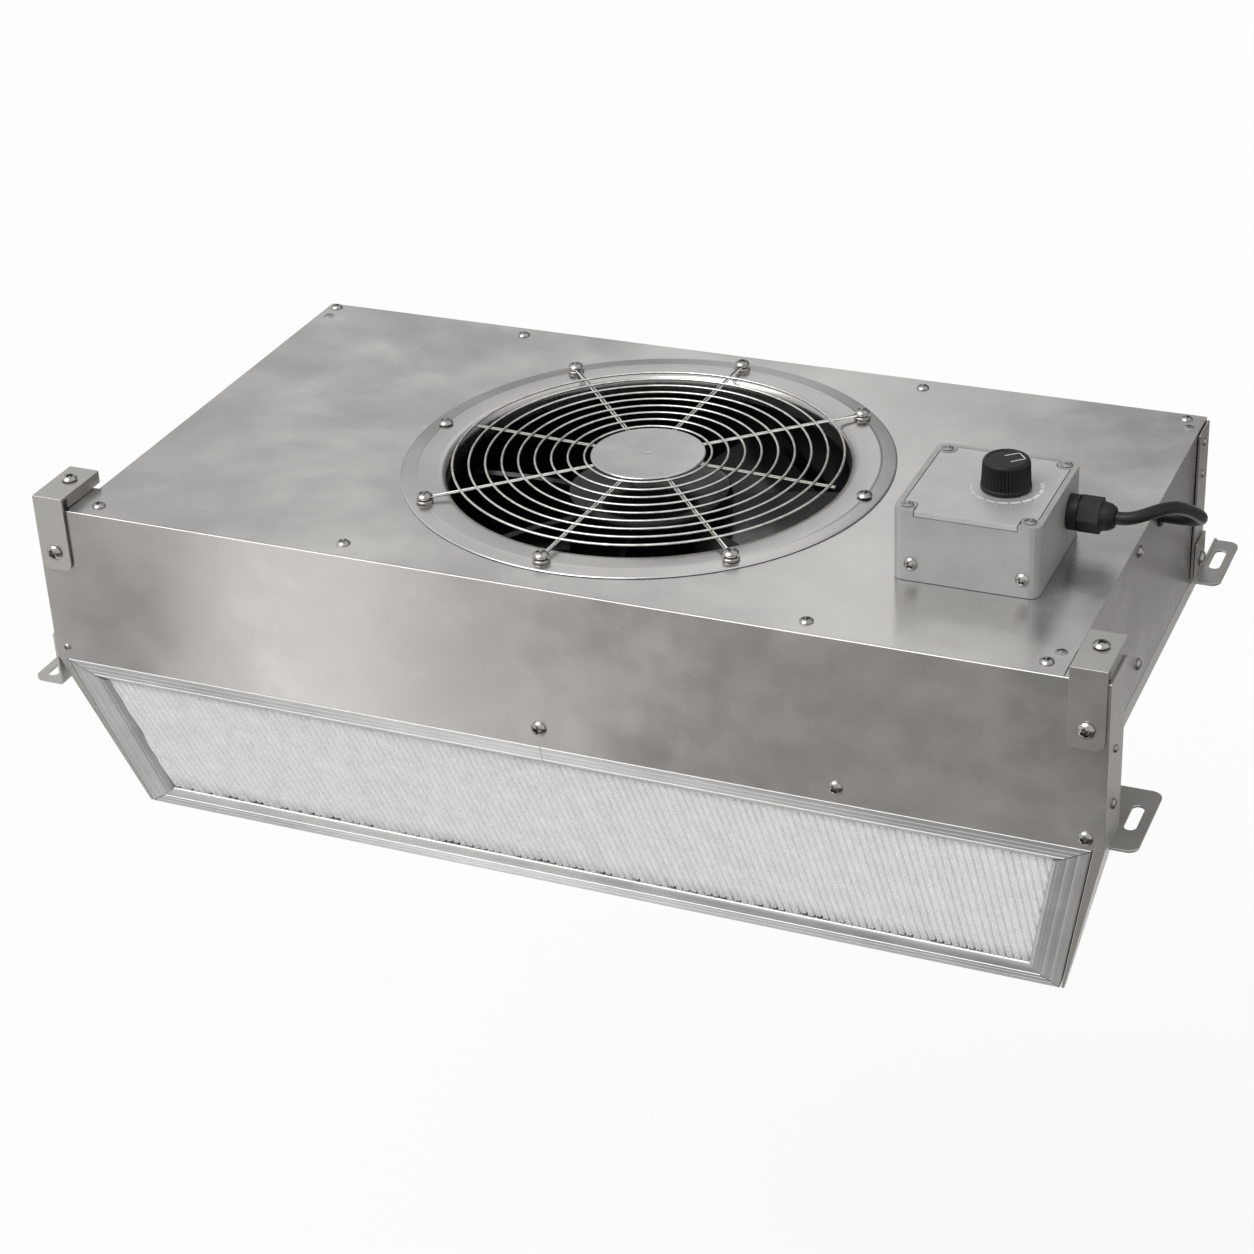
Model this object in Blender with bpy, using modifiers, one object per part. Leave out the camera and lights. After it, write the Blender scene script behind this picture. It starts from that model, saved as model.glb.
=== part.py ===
# Compact fan filter unit for cleanroom handling machines.
# Metres, +Z up. X is the width, the filter faces -Y, and Z = 0 is the underside of the casing.
import math
import bpy
import bmesh
from mathutils import Vector

for old in list(bpy.data.objects):
    bpy.data.objects.remove(old, do_unlink=True)

# Driving sizes
GAP = 0.0003              # clearance between pieces that touch
SHEET = 0.0015            # casing sheet
CASE_W = 0.562            # over the top panel
POST_W = 0.024            # how far each end of the front panel stands out past the top panel
FAN_EDGE = 0.0145         # inlet ring to the front and the back of the casing, about
CASE_H = 0.0965           # underside of the side panels to the top panel
POST_D = 0.030            # how deep the folded ends of the front panel are
FRONT_LIP = 0.012         # lip of the front panel under the top panel
EDGE_R = 0.0005           # broken edge of cut sheet
RIM_H = 0.011             # visible rim of the base pan
STRIP_D = 0.022           # side return of the back panel

FAN_OFF = 0.0035          # fan centre behind the middle of the casing
TIP_R = 0.1110            # blade tips
TIP_GAP = 0.0050          # blade tips to the fan housing
NOZZLE_IN = 0.0031        # throat of the inlet nozzle inside the fan housing
NOZZLE_L = 0.0125         # how far the nozzle reaches below the top face
NOZZLE_LIP = 0.0030       # how far the mouth of the nozzle flares
SCREW_OUT = 0.0140        # circle of the guard's screws outside the fan housing
RING_OUT = 0.0090         # outer edge of the inlet ring outside those screws
RING_T = 0.0012
HOLE_OUT = 0.0035         # hole in the top panel outside the fan housing
FLANGE_OUT = 0.0060       # flange of the fan housing outside the screws
HOUSING_T = 0.0025
HOUSING_L = 0.0740
STRUT_W = 0.010
STRUT_H = 0.0045
HUB_R = 0.0470
HUB_T = 0.0030
HUB_H = 0.0520
BLADES = 7
BLADE_T = 0.0026
BLADE_CHORD = 0.052       # at the root
BLADE_FLARE = 0.022       # how much wider the chord is at the tip
BLADE_CAMBER = 0.006
BLADE_SWEEP = 0.012
STATOR_GAP = 0.0040       # stator to the inside of the hub
SHAFT_R = 0.0040
MOTOR_PLATE_T = 0.0030

GUARD_DISC_R = 0.0325
GUARD_FIRST = 0.0358      # first ring outside the disc
GUARD_IN = 0.0062         # last ring inside the fan housing
GUARD_RINGS = 9
GUARD_WIRE = 0.0007       # radius of a ring wire
SPOKE_WIRE = 0.0006       # radius of a spoke wire
WELD_SINK = 0.0004        # how far a ring sinks into a spoke at its weld
SPOKE_GAP = 0.0008        # spoke wire to the spoke's middle line
SPOKE_END = 0.0030        # loose spokes end this far outside the last ring
SPOKE_RISE = 0.0013       # underside of the spokes above the inlet ring
EYE_R = 0.0026            # eye of a long spoke round its screw
SPOKES = 8
GUARD_TURN = math.radians(-3.0)

FRAME_IN = 0.006          # top corners of the filter frame inside the front panel's ends
FRAME_TAPER = 0.0215      # how far each lower corner lies further in
FRAME_BACK = 0.032        # how far the lower edge lies further back
FRAME_DROP = 0.112        # lower edge of the frame under the casing
FRAME_T = 0.018           # frame bars, front to back
TOP_BAR = 0.015
BOTTOM_BAR = 0.013
SIDE_BAR = 0.019
SEAM_X = -0.002           # joint of the two halves of the top bar
BAR_EDGE = 0.0016
PLEAT_PITCH = 0.0045
PLEAT_D = 0.0110
PAPER_T = 0.0005
PACK_SET = 0.0020         # front of the pleats behind the frame's face
GASKET_T = 0.0030
GASKET_W = 0.0100
GASKET_IN = 0.0130        # gasket inside the frame's outer edges
PLENUM_IN = 0.005         # plenum box inside the side panels
PAN_SET = 0.010           # base pan behind the top of the filter frame
PORT_RIM = 0.006          # rim of the air port in the base pan
PLENUM_D = 0.118          # back wall of the plenum behind the front face
PLENUM_TAPER = 0.026
CAP_BACK = 0.006

BOX_W = 0.077             # speed control box
BOX_D = 0.081
BOX_H = 0.040
BOX_IN = 0.0320           # its right side inside the side of the casing
BOX_Y = 0.0690            # its front side, behind the front face
BOX_WALL = 0.003
LID_T = 0.003
BOX_EAR = 0.0064          # corner screw from each side
BOX_EAR_R = 0.0048        # rounded pillar round each corner screw
BOX_R = 0.0050
BOARD_IN_X = 0.0145       # circuit board inside the box's sides
BOARD_IN_Y = 0.0125
BOARD_T = 0.0016
KNOB_R = 0.0134           # at its foot
KNOB_TAPER = 0.0011
KNOB_H = 0.0165
KNOB_X = 0.0095           # knob axis from the middle of the box
KNOB_FLUTES = 40
POT_SHAFT_R = 0.0030
POT_BUSH_R = 0.0038
POT_BUSH_L = 0.0050       # bush above the lid
POT_R = 0.0085
POT_L = 0.0100
KNOB_SKIRT = 0.0030
FLUTE_D = 0.0006
GLAND_IN = 0.0225         # gland axis inside the back of the box
GLAND_Z = 0.0220          # gland axis above the foot of the box
GLAND_R = 0.0096
GLAND_FLANGE = 0.0055
HEX_L = 0.0115
DOME_L = 0.0070
THREAD_IN = 0.0045        # thread inside the box's wall
LOCK_T = 0.0035
THREAD_R = 0.0072
HEX_R = 0.0098
LOCK_R = 0.0094
CABLE_R = 0.0035
CABLE_IN_Y = 0.0460       # where the cable goes in through the right side
CABLE_DROP = 0.0105       # and how far below the top panel
CABLE_IN_Z = CASE_H - CABLE_DROP

HEAD_R = 0.0046           # button head of an M5 screw
HEAD_H = 0.0026
SHANK_R = 0.0020
SMALL_HEAD_R = 0.0034
SMALL_HEAD_H = 0.0018
SMALL_SHANK_R = 0.0014
HOLE_GAP = 0.0004

CLIP_W = 0.0190           # top corner bracket
CLIP_D = 0.0385
CLIP_RISE = 0.0075
CLIP_LEG = 0.0450
CLIP_IN = 0.0015          # its outer side inside the front panel's end
CLIP_R = 0.0045           # round corners at the foot of its leg
CLIP_TOP_SCREW = 0.022    # its screws behind the front panel and above the foot of the leg
CLIP_LEG_SCREW = 0.011
FOOT_T = 0.0015           # lower brackets
FOOT_R = 0.0060           # round outer corners of their plates
FOOT_LEG = 0.0250
FOOT_L = 0.0590
FOOT_W = 0.0330
FOOT_LOW = 0.0180
SLOT_L = 0.0240
SLOT_W = 0.0065
LEFT_FOOT_W = 0.0200
REAR_FOOT_W = 0.0150
REAR_FOOT_OUT = 0.0340

TOP = CASE_H
X1 = CASE_W / 2
X0 = X1 + POST_W          # ends of the front panel
XS = X1                   # outer face of the side panels
FRAME_W = 2 * (X0 - FRAME_IN)
PLENUM_W = 2 * (XS - PLENUM_IN)
FAN_Y = FAN_OFF
FACE_Z = TOP + GAP + RING_T
HOUSING_R = TIP_R + TIP_GAP
FAN_R = HOUSING_R - NOZZLE_IN
SCREW_CIRCLE = HOUSING_R + SCREW_OUT
RING_R = SCREW_CIRCLE + RING_OUT
DEPTH = 2 * (RING_R + FAN_EDGE)
YF = -DEPTH / 2
YB = DEPTH / 2
GUARD_PITCH = (HOUSING_R - GUARD_IN - GUARD_FIRST) / (GUARD_RINGS - 1)
STATOR_R = HUB_R - HUB_T - STATOR_GAP

scene = bpy.context.scene
cutters = bpy.data.collections.new("cutters")
scene.collection.children.link(cutters)


def material(name, rgb, rough, metal):
    m = bpy.data.materials.new(name)
    m.use_nodes = True
    b = m.node_tree.nodes["Principled BSDF"]
    b.inputs["Base Color"].default_value = (*rgb, 1.0)
    b.inputs["Roughness"].default_value = rough
    b.inputs["Metallic"].default_value = metal
    m.diffuse_color = (*rgb, 1.0)
    return m


STEEL = ((0.46, 0.45, 0.43), 0.30, 1.0)
BRIGHT = ((0.62, 0.61, 0.60), 0.25, 1.0)
ALU = ((0.70, 0.70, 0.69), 0.38, 1.0)
CAST = ((0.42, 0.45, 0.47), 0.60, 0.6)
BLACK = ((0.015, 0.015, 0.016), 0.35, 0.0)
DULL = ((0.02, 0.02, 0.021), 0.65, 0.0)
PAPER = ((0.86, 0.86, 0.84), 0.90, 0.0)
BOARD = ((0.03, 0.16, 0.06), 0.50, 0.0)


def finish(ob, name, look):
    ob.name = name
    ob.data.name = name
    ob.data.materials.clear()
    ob.data.materials.append(material(name, *look))
    return ob


def as_cutter(ob, name):
    ob.name = name
    ob.hide_render = True
    ob.display_type = 'WIRE'
    for c in list(ob.users_collection):
        c.objects.unlink(ob)
    cutters.objects.link(ob)
    return ob


def block(x0, x1, y0, y1, z0, z1):
    """A box between two corners, its origin at its middle."""
    bpy.ops.mesh.primitive_cube_add(size=1.0, location=((x0 + x1) / 2, (y0 + y1) / 2, (z0 + z1) / 2))
    ob = bpy.context.object
    for v in ob.data.vertices:
        v.co = Vector((v.co.x * (x1 - x0), v.co.y * (y1 - y0), v.co.z * (z1 - z0)))
    return ob


def rod(radius, length, at, axis='Z', sides=16):
    turn = {'Z': (0, 0, 0), 'X': (0, math.pi / 2, 0), 'Y': (math.pi / 2, 0, 0)}[axis]
    bpy.ops.mesh.primitive_cylinder_add(vertices=sides, radius=radius, depth=length,
                                        location=at, rotation=turn)
    return bpy.context.object


def turned(points, at, steps, closed=False, turn=(0, 0, 0)):
    """Profile in (radius, height), swept round local Z by a Screw modifier."""
    me = bpy.data.meshes.new("profile")
    n = len(points)
    edges = [(i, i + 1) for i in range(n - 1)] + ([(n - 1, 0)] if closed else [])
    me.from_pydata([(r, 0, z) for r, z in points], edges, [])
    ob = bpy.data.objects.new("profile", me)
    scene.collection.objects.link(ob)
    ob.location = at
    ob.rotation_euler = turn
    s = ob.modifiers.new("turn", 'SCREW')
    s.axis = 'Z'
    s.angle = 2 * math.pi
    s.steps = steps
    s.render_steps = steps
    s.use_merge_vertices = True
    s.merge_threshold = 0.00005
    return ob


def bevel(ob, width, segments=1, angle=35):
    b = ob.modifiers.new("edges", 'BEVEL')
    b.width = width
    b.segments = segments
    b.limit_method = 'ANGLE'
    b.angle_limit = math.radians(angle)
    return ob


def boolean(ob, other, operation):
    m = ob.modifiers.new(operation.lower(), 'BOOLEAN')
    m.operation = operation
    m.solver = 'EXACT'
    m.object = other
    return ob


def cut(ob, other):
    return boolean(ob, other, 'DIFFERENCE')


def weld(ob, other):
    return boolean(ob, other, 'UNION')


def joined(objects, name):
    """Several meshes as one operand of a Boolean."""
    bpy.ops.object.select_all(action='DESELECT')
    for o in objects:
        o.select_set(True)
    bpy.context.view_layer.objects.active = objects[0]
    bpy.ops.object.convert(target='MESH')
    if len(objects) > 1:
        bpy.ops.object.join()
    ob = bpy.context.object
    return as_cutter(ob, name)


def wire(points, radius, cyclic=False, resolution=1):
    cu = bpy.data.curves.new("wire", 'CURVE')
    cu.dimensions = '3D'
    cu.bevel_depth = radius
    cu.bevel_resolution = resolution
    cu.use_fill_caps = True
    sp = cu.splines.new('POLY')
    sp.points.add(len(points) - 1)
    for p, q in zip(sp.points, points):
        p.co = (*q, 1.0)
    sp.use_cyclic_u = cyclic
    ob = bpy.data.objects.new("wire", cu)
    scene.collection.objects.link(ob)
    return ob


def outline(points, thick):
    """A flat 2D outline extruded to a thickness, lying in its own XY plane."""
    cu = bpy.data.curves.new("outline", 'CURVE')
    cu.dimensions = '2D'
    cu.fill_mode = 'BOTH'
    cu.extrude = thick / 2
    sp = cu.splines.new('POLY')
    sp.points.add(len(points) - 1)
    for p, q in zip(sp.points, points):
        p.co = (q[0], q[1], 0, 1.0)
    sp.use_cyclic_u = True
    ob = bpy.data.objects.new("outline", cu)
    scene.collection.objects.link(ob)
    return ob


def folded(path, z0, z1, thick, offset):
    """Sheet metal: a bent line in plan drawn up from z0 to z1, with Solidify."""
    bm = bmesh.new()
    low = [bm.verts.new((x, y, z0)) for x, y in path]
    edges = [bm.edges.new((a, b)) for a, b in zip(low, low[1:])]
    out = bmesh.ops.extrude_edge_only(bm, edges=edges)
    for v in [g for g in out["geom"] if isinstance(g, bmesh.types.BMVert)]:
        v.co.z = z1
    bmesh.ops.recalc_face_normals(bm, faces=bm.faces)
    me = bpy.data.meshes.new("sheet")
    bm.to_mesh(me)
    bm.free()
    ob = bpy.data.objects.new("sheet", me)
    scene.collection.objects.link(ob)
    s = ob.modifiers.new("sheet", 'SOLIDIFY')
    s.thickness = thick
    s.offset = offset
    s.use_even_offset = True
    return ob


def tapered(corners_low, corners_high):
    """A box whose lower and upper outlines differ; each outline runs round in order."""
    bm = bmesh.new()
    bmesh.ops.create_cube(bm, size=1.0)
    order = [(-0.5, -0.5), (0.5, -0.5), (0.5, 0.5), (-0.5, 0.5)]
    for v in bm.verts:
        i = order.index((round(v.co.x, 1), round(v.co.y, 1)))
        v.co = Vector((corners_low if v.co.z < 0 else corners_high)[i])
    bmesh.ops.recalc_face_normals(bm, faces=bm.faces)
    me = bpy.data.meshes.new("tapered")
    bm.to_mesh(me)
    bm.free()
    ob = bpy.data.objects.new("tapered", me)
    scene.collection.objects.link(ob)
    return ob


def screw(name, at, turn, head_r, head_h, shank_r, shank_l, look=BRIGHT):
    """Button head screw, local +Z out of the head, origin under the head."""
    profile = [(0, head_h), (head_r * 0.55, head_h), (head_r * 0.9, head_h * 0.62), (head_r, 0),
               (shank_r, 0), (shank_r, -shank_l), (0, -shank_l)]
    ob = turned(profile, at, 10, turn=turn)
    return finish(ob, name, look)


TO_FRONT = (math.pi / 2, 0, 0)
TO_RIGHT = (0, math.pi / 2, 0)
TO_LEFT = (0, -math.pi / 2, 0)

# Casing
post_back = YF + POST_D
path = [(XS + GAP, post_back), (X0, post_back), (X0, YF), (-X0, YF), (-X0, post_back), (-XS - GAP, post_back)]
front_panel = folded(path, 0, TOP, SHEET, -1)
caps = []
for side in (-1, 1):
    xa, xb = sorted((side * (X1 + GAP), side * (X0 - SHEET / 2)))
    caps.append(block(xa, xb, YF + SHEET / 2, post_back - SHEET / 2, TOP - SHEET, TOP - EDGE_R / 2))
caps.append(block(-XS + 0.01, XS - 0.01, YF + SHEET / 2, YF + SHEET + FRONT_LIP,
                  TOP - 2 * SHEET - GAP, TOP - SHEET - GAP))
weld(front_panel, joined(caps, "front_panel_folds"))
finish(front_panel, "front_panel", STEEL)

top_panel = block(-X1, X1, YF + SHEET + GAP, YB, TOP - SHEET, TOP)
top_hole = as_cutter(rod(HOUSING_R + HOLE_OUT, 0.02, (0, FAN_Y, TOP), sides=64), "top_panel_hole")
cut(top_panel, top_hole)
finish(top_panel, "top_panel", STEEL)

wall_top = TOP - SHEET - GAP
for side, tag in ((-1, "left"), (1, "right")):
    xa, xb = sorted((side * XS, side * (XS - SHEET)))
    panel = block(xa, xb, post_back - SHEET + GAP, YB - SHEET - GAP, GAP, wall_top)
    finish(panel, "side_panel_" + tag, STEEL)

strip_x = XS + GAP + SHEET
path = [(strip_x, YB - STRIP_D), (strip_x, YB), (-strip_x, YB), (-strip_x, YB - STRIP_D)]
back_panel = folded(path, GAP, wall_top, SHEET, -1)
finish(back_panel, "back_panel", STEEL)

pan_front = YF + FRAME_T + PAN_SET
pan = block(-XS, XS, pan_front, YB - SHEET, -RIM_H, -GAP)
pan_inside = as_cutter(block(-XS + SHEET, XS - SHEET, pan_front + SHEET, YB - 2 * SHEET,
                             -RIM_H + SHEET, RIM_H), "base_pan_inside")
pan_port = as_cutter(block(-PLENUM_W / 2 + 2 * PORT_RIM, PLENUM_W / 2 - 2 * PORT_RIM, pan_front + PORT_RIM,
                           YF + PLENUM_D - 2 * PORT_RIM, -0.03, 0.01), "base_pan_port")
cut(pan, pan_inside)
cut(pan, pan_port)
finish(pan, "base_pan", STEEL)

# Filter frame, built flat in its own plane and leaned back under the front panel
lean = math.atan2(FRAME_BACK, FRAME_DROP - GAP)
slope = math.hypot(FRAME_BACK, FRAME_DROP - GAP)
half = FRAME_W / 2


def edge_x(s, inset=0.0):
    """Half width of the frame at a way s down its slope, less an inset."""
    return half - FRAME_TAPER * s / slope - inset


def on_slope(ob):
    ob.location = (0, YF, -GAP)
    ob.rotation_euler = (lean, 0, 0)
    return ob


def bar(s0, s1, x_low, x_high, n0, n1, back_drop=0.0):
    """Bar of the frame: x_low and x_high are (left, right) at s1 and at s0."""
    low = [(x_low[0], n0, -s1), (x_low[1], n0, -s1), (x_low[1], n1, -s1), (x_low[0], n1, -s1)]
    high = [(x_high[0], n0, -s0), (x_high[1], n0, -s0), (x_high[1], n1, -s0 - back_drop),
            (x_high[0], n1, -s0 - back_drop)]
    return on_slope(tapered(low, high))


mitre = GAP / 2
top_drop = FRAME_T * math.tan(lean)
s_in = slope - BOTTOM_BAR
top_left = bar(0, TOP_BAR, (-edge_x(TOP_BAR, SIDE_BAR), SEAM_X - mitre), (-edge_x(0) + mitre, SEAM_X - mitre),
               0, FRAME_T, top_drop)
finish(bevel(top_left, BAR_EDGE), "filter_frame_top_left", ALU)
top_right = bar(0, TOP_BAR, (SEAM_X + mitre, edge_x(TOP_BAR, SIDE_BAR)), (SEAM_X + mitre, edge_x(0) - mitre),
                0, FRAME_T, top_drop)
finish(bevel(top_right, BAR_EDGE), "filter_frame_top_right", ALU)
low_bar = bar(s_in, slope, (-edge_x(slope) + mitre, edge_x(slope) - mitre),
              (-edge_x(s_in, SIDE_BAR), edge_x(s_in, SIDE_BAR)), 0, FRAME_T)
finish(bevel(low_bar, BAR_EDGE), "filter_frame_bottom", ALU)
for side, tag in ((-1, "left"), (1, "right")):
    # outer edge leans from the top corner to the bottom corner, inner edge between the two bars
    o_top, o_low = edge_x(0), edge_x(slope)
    i_top, i_low = edge_x(TOP_BAR, SIDE_BAR), edge_x(s_in, SIDE_BAR)
    a, b = GAP * 1.6, GAP * 1.2
    low = [(side * i_low, 0, -s_in + b), (side * o_low, 0, -slope + b),
           (side * o_low, FRAME_T, -slope + b), (side * i_low, FRAME_T, -s_in + b)]
    high = [(side * i_top, 0, -TOP_BAR - a), (side * o_top, 0, -a),
            (side * o_top, FRAME_T, -top_drop - a), (side * i_top, FRAME_T, -TOP_BAR - a)]
    upright = on_slope(tapered(low, high))
    finish(bevel(upright, BAR_EDGE), "filter_frame_" + tag, ALU)

# Folded filter paper
count = int((edge_x(TOP_BAR, SIDE_BAR) * 2 - 2 * GAP) / PLEAT_PITCH)
bm = bmesh.new()
bmesh.ops.create_grid(bm, x_segments=2 * count, y_segments=1, size=0.5)
s_a, s_b = TOP_BAR + 0.0010, s_in - 0.0010
for v in bm.verts:
    k = round((v.co.x + 0.5) * 2 * count)
    s = s_a if v.co.y > 0 else s_b
    x = (v.co.x * 2) * (edge_x(s, SIDE_BAR) - 2 * GAP)
    v.co = Vector((x, PACK_SET + (PLEAT_D if k % 2 == 0 else 0.0) + PAPER_T, -s))
bmesh.ops.recalc_face_normals(bm, faces=bm.faces)
me = bpy.data.meshes.new("pleats")
bm.to_mesh(me)
bm.free()
pleats = bpy.data.objects.new("pleats", me)
scene.collection.objects.link(pleats)
on_slope(pleats)
so = pleats.modifiers.new("paper", 'SOLIDIFY')
so.thickness = PAPER_T
so.offset = 0
finish(pleats, "pleated_filter", PAPER)

# Gasket behind the frame, then the plenum that it seals to
n_gasket = FRAME_T + GAP
s_g = top_drop + 0.003
s_h = slope - 0.003


def slope_ring(s0, s1, inset, width, n0, n1, name):
    outer = bar(s0, s1, (-edge_x(s1, inset), edge_x(s1, inset)), (-edge_x(s0, inset), edge_x(s0, inset)),
                n0, n1)
    hole = bar(s0 + width, s1 - width,
               (-edge_x(s1 - width, inset + width), edge_x(s1 - width, inset + width)),
               (-edge_x(s0 + width, inset + width), edge_x(s0 + width, inset + width)), n0 - 0.01, n1 + 0.01)
    cut(outer, as_cutter(hole, name + "_hole"))
    return outer


finish(slope_ring(s_g, s_h, GASKET_IN, GASKET_W, n_gasket, n_gasket + GASKET_T, "filter_gasket"),
       "filter_gasket", DULL)

n_plenum = n_gasket + GASKET_T + GAP
sin_l, cos_l = math.sin(lean), math.cos(lean)


def front_at(z, n):
    """Y of the plane n behind the frame's face at height z."""
    s = (n * sin_l - GAP - z) / cos_l
    return YF + n * cos_l + s * sin_l


def plenum_body(out, z_top, z_low, n, back):
    w1 = PLENUM_W / 2 - out
    w0 = w1 - PLENUM_TAPER
    low = [(-w0, front_at(z_low, n), z_low), (w0, front_at(z_low, n), z_low),
           (w0, back, z_low), (-w0, back, z_low)]
    high = [(-w1, front_at(z_top, n), z_top), (w1, front_at(z_top, n), z_top),
            (w1, back, z_top), (-w1, back, z_top)]
    return tapered(low, high)


pl_top, pl_low = -RIM_H - GAP, -FRAME_DROP - 0.001
plenum = plenum_body(0, pl_top, pl_low, n_plenum + SHEET / 2, YF + PLENUM_D)
flange = slope_ring(s_g, s_h, GASKET_IN, GASKET_W, n_plenum, n_plenum + SHEET, "plenum_flange")
weld(plenum, joined([flange], "plenum_flange"))
room = plenum_body(SHEET, pl_top + 0.01, pl_low + SHEET, n_plenum - 0.012, YF + PLENUM_D - SHEET)
cut(plenum, as_cutter(room, "plenum_inside"))
finish(plenum, "plenum_box", STEEL)

# Tapered end caps that close the frame below the folded ends of the front panel
for side, tag in ((-1, "left"), (1, "right")):
    z_low = -FRAME_DROP
    xi1, xi0 = half + GAP, half - FRAME_TAPER + GAP
    xo1, xo0 = X0, half - FRAME_TAPER + 0.0020
    y1a, y1b = YF + 0.0005, post_back
    y0a, y0b = YF + FRAME_BACK + 0.0005, YF + FRAME_BACK + CAP_BACK
    low = [(side * xi0, y0a, z_low), (side * xo0, y0a, z_low),
           (side * xo0, y0b, z_low), (side * xi0, y0b, z_low)]
    high = [(side * xi1, y1a, -GAP), (side * xo1, y1a, -GAP),
            (side * xo1, y1b, -GAP), (side * xi1, y1b, -GAP)]
    finish(tapered(low, high), "frame_end_cap_" + tag, STEEL)

# Fan: inlet ring, housing, motor and impeller
f0 = FACE_Z
nose = FAN_R + SHEET
profile = [(RING_R - EDGE_R, f0), (RING_R, f0 - EDGE_R), (RING_R, f0 - RING_T),
           (nose + NOZZLE_LIP, f0 - RING_T), (nose + NOZZLE_LIP / 4, f0 - RING_T - NOZZLE_LIP * 0.6),
           (nose, f0 - NOZZLE_LIP * 2), (nose, f0 - NOZZLE_L), (FAN_R, f0 - NOZZLE_L),
           (FAN_R, f0 - NOZZLE_LIP * 1.9), (FAN_R + NOZZLE_LIP / 4, f0 - NOZZLE_LIP * 0.7),
           (FAN_R + NOZZLE_LIP, f0)]
inlet_ring = turned(profile, (0, FAN_Y, 0), 56, closed=True)

h_top = TOP - SHEET - GAP
h_low = h_top - HOUSING_L
rw = HOUSING_R + HOUSING_T
rf = SCREW_CIRCLE + FLANGE_OUT
profile = [(rf, h_top), (rf, h_top - HOUSING_T), (rw, h_top - HOUSING_T), (rw, h_low), (HOUSING_R, h_low),
           (HOUSING_R, h_top)]
fan_housing = turned(profile, (0, FAN_Y, 0), 48, closed=True)
ribs = []
for k in range(2):
    r = block(-HOUSING_R - HOUSING_T / 2, HOUSING_R + HOUSING_T / 2, -STRUT_W / 2, STRUT_W / 2,
              h_low, h_low + STRUT_H)
    r.location.y = FAN_Y
    r.rotation_euler.z = math.radians(45 + 90 * k)
    ribs.append(r)
plate = rod(HUB_R, MOTOR_PLATE_T, (0, FAN_Y, h_low + STRUT_H - MOTOR_PLATE_T / 2 + 0.0004), sides=32)
for k, r in enumerate(ribs):
    weld(fan_housing, joined([r], "housing_strut_%d" % (k + 1)))
weld(fan_housing, joined([plate], "motor_plate"))

motor_z = h_low + STRUT_H + 0.0004 + GAP
hub_low = motor_z + 0.004
hub_top = hub_low + HUB_H
stator_h = HUB_H + 0.004 - HUB_T - 0.004
stator_bore = SHAFT_R + GAP
profile = [(stator_bore, motor_z + stator_h), (STATOR_R, motor_z + stator_h), (STATOR_R, motor_z),
           (stator_bore, motor_z)]
stator = turned(profile, (0, FAN_Y, 0), 32, closed=True)
finish(stator, "motor_stator", ALU)
profile = [(0, hub_top - HUB_T - GAP), (SHAFT_R, hub_top - HUB_T - GAP), (SHAFT_R, motor_z + GAP),
           (0, motor_z + GAP)]
finish(turned(profile, (0, FAN_Y, 0), 16), "motor_shaft", BRIGHT)

profile = [(0, 0), (HUB_R - 0.006, 0), (HUB_R - 0.0018, -0.0018), (HUB_R, -0.006), (HUB_R, -HUB_H),
           (HUB_R - HUB_T, -HUB_H), (HUB_R - HUB_T, -HUB_T), (0, -HUB_T)]
impeller = turned(profile, (0, FAN_Y, hub_top), 35)
blades = []
for k in range(BLADES):
    bm = bmesh.new()
    bmesh.ops.create_grid(bm, x_segments=5, y_segments=4, size=0.5)
    for v in bm.verts:
        u, w = v.co.x, v.co.y + 0.5                    # along the chord, and from root to tip
        r = HUB_R - 0.0012 + (TIP_R - HUB_R + 0.0012) * w
        pitch = math.radians(46 - 20 * w)
        chord = BLADE_CHORD + BLADE_FLARE * w
        camber = BLADE_CAMBER * (1 - 4 * u * u)
        along = u * chord * math.cos(pitch) + camber * math.sin(pitch) + BLADE_SWEEP * w
        up = u * chord * math.sin(pitch) - camber * math.cos(pitch)
        a = along / r + 2 * math.pi * k / BLADES
        v.co = Vector((r * math.cos(a), r * math.sin(a), up - HUB_H / 2 - 0.001))
    bmesh.ops.recalc_face_normals(bm, faces=bm.faces)
    me = bpy.data.meshes.new("blade")
    bm.to_mesh(me)
    bm.free()
    b = bpy.data.objects.new("blade", me)
    scene.collection.objects.link(b)
    b.location = impeller.location
    th = b.modifiers.new("blade", 'SOLIDIFY')
    th.thickness = BLADE_T
    th.offset = 0
    blades.append(b)
weld(impeller, joined(blades, "impeller_blades"))
finish(impeller, "impeller", BLACK)

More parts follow.
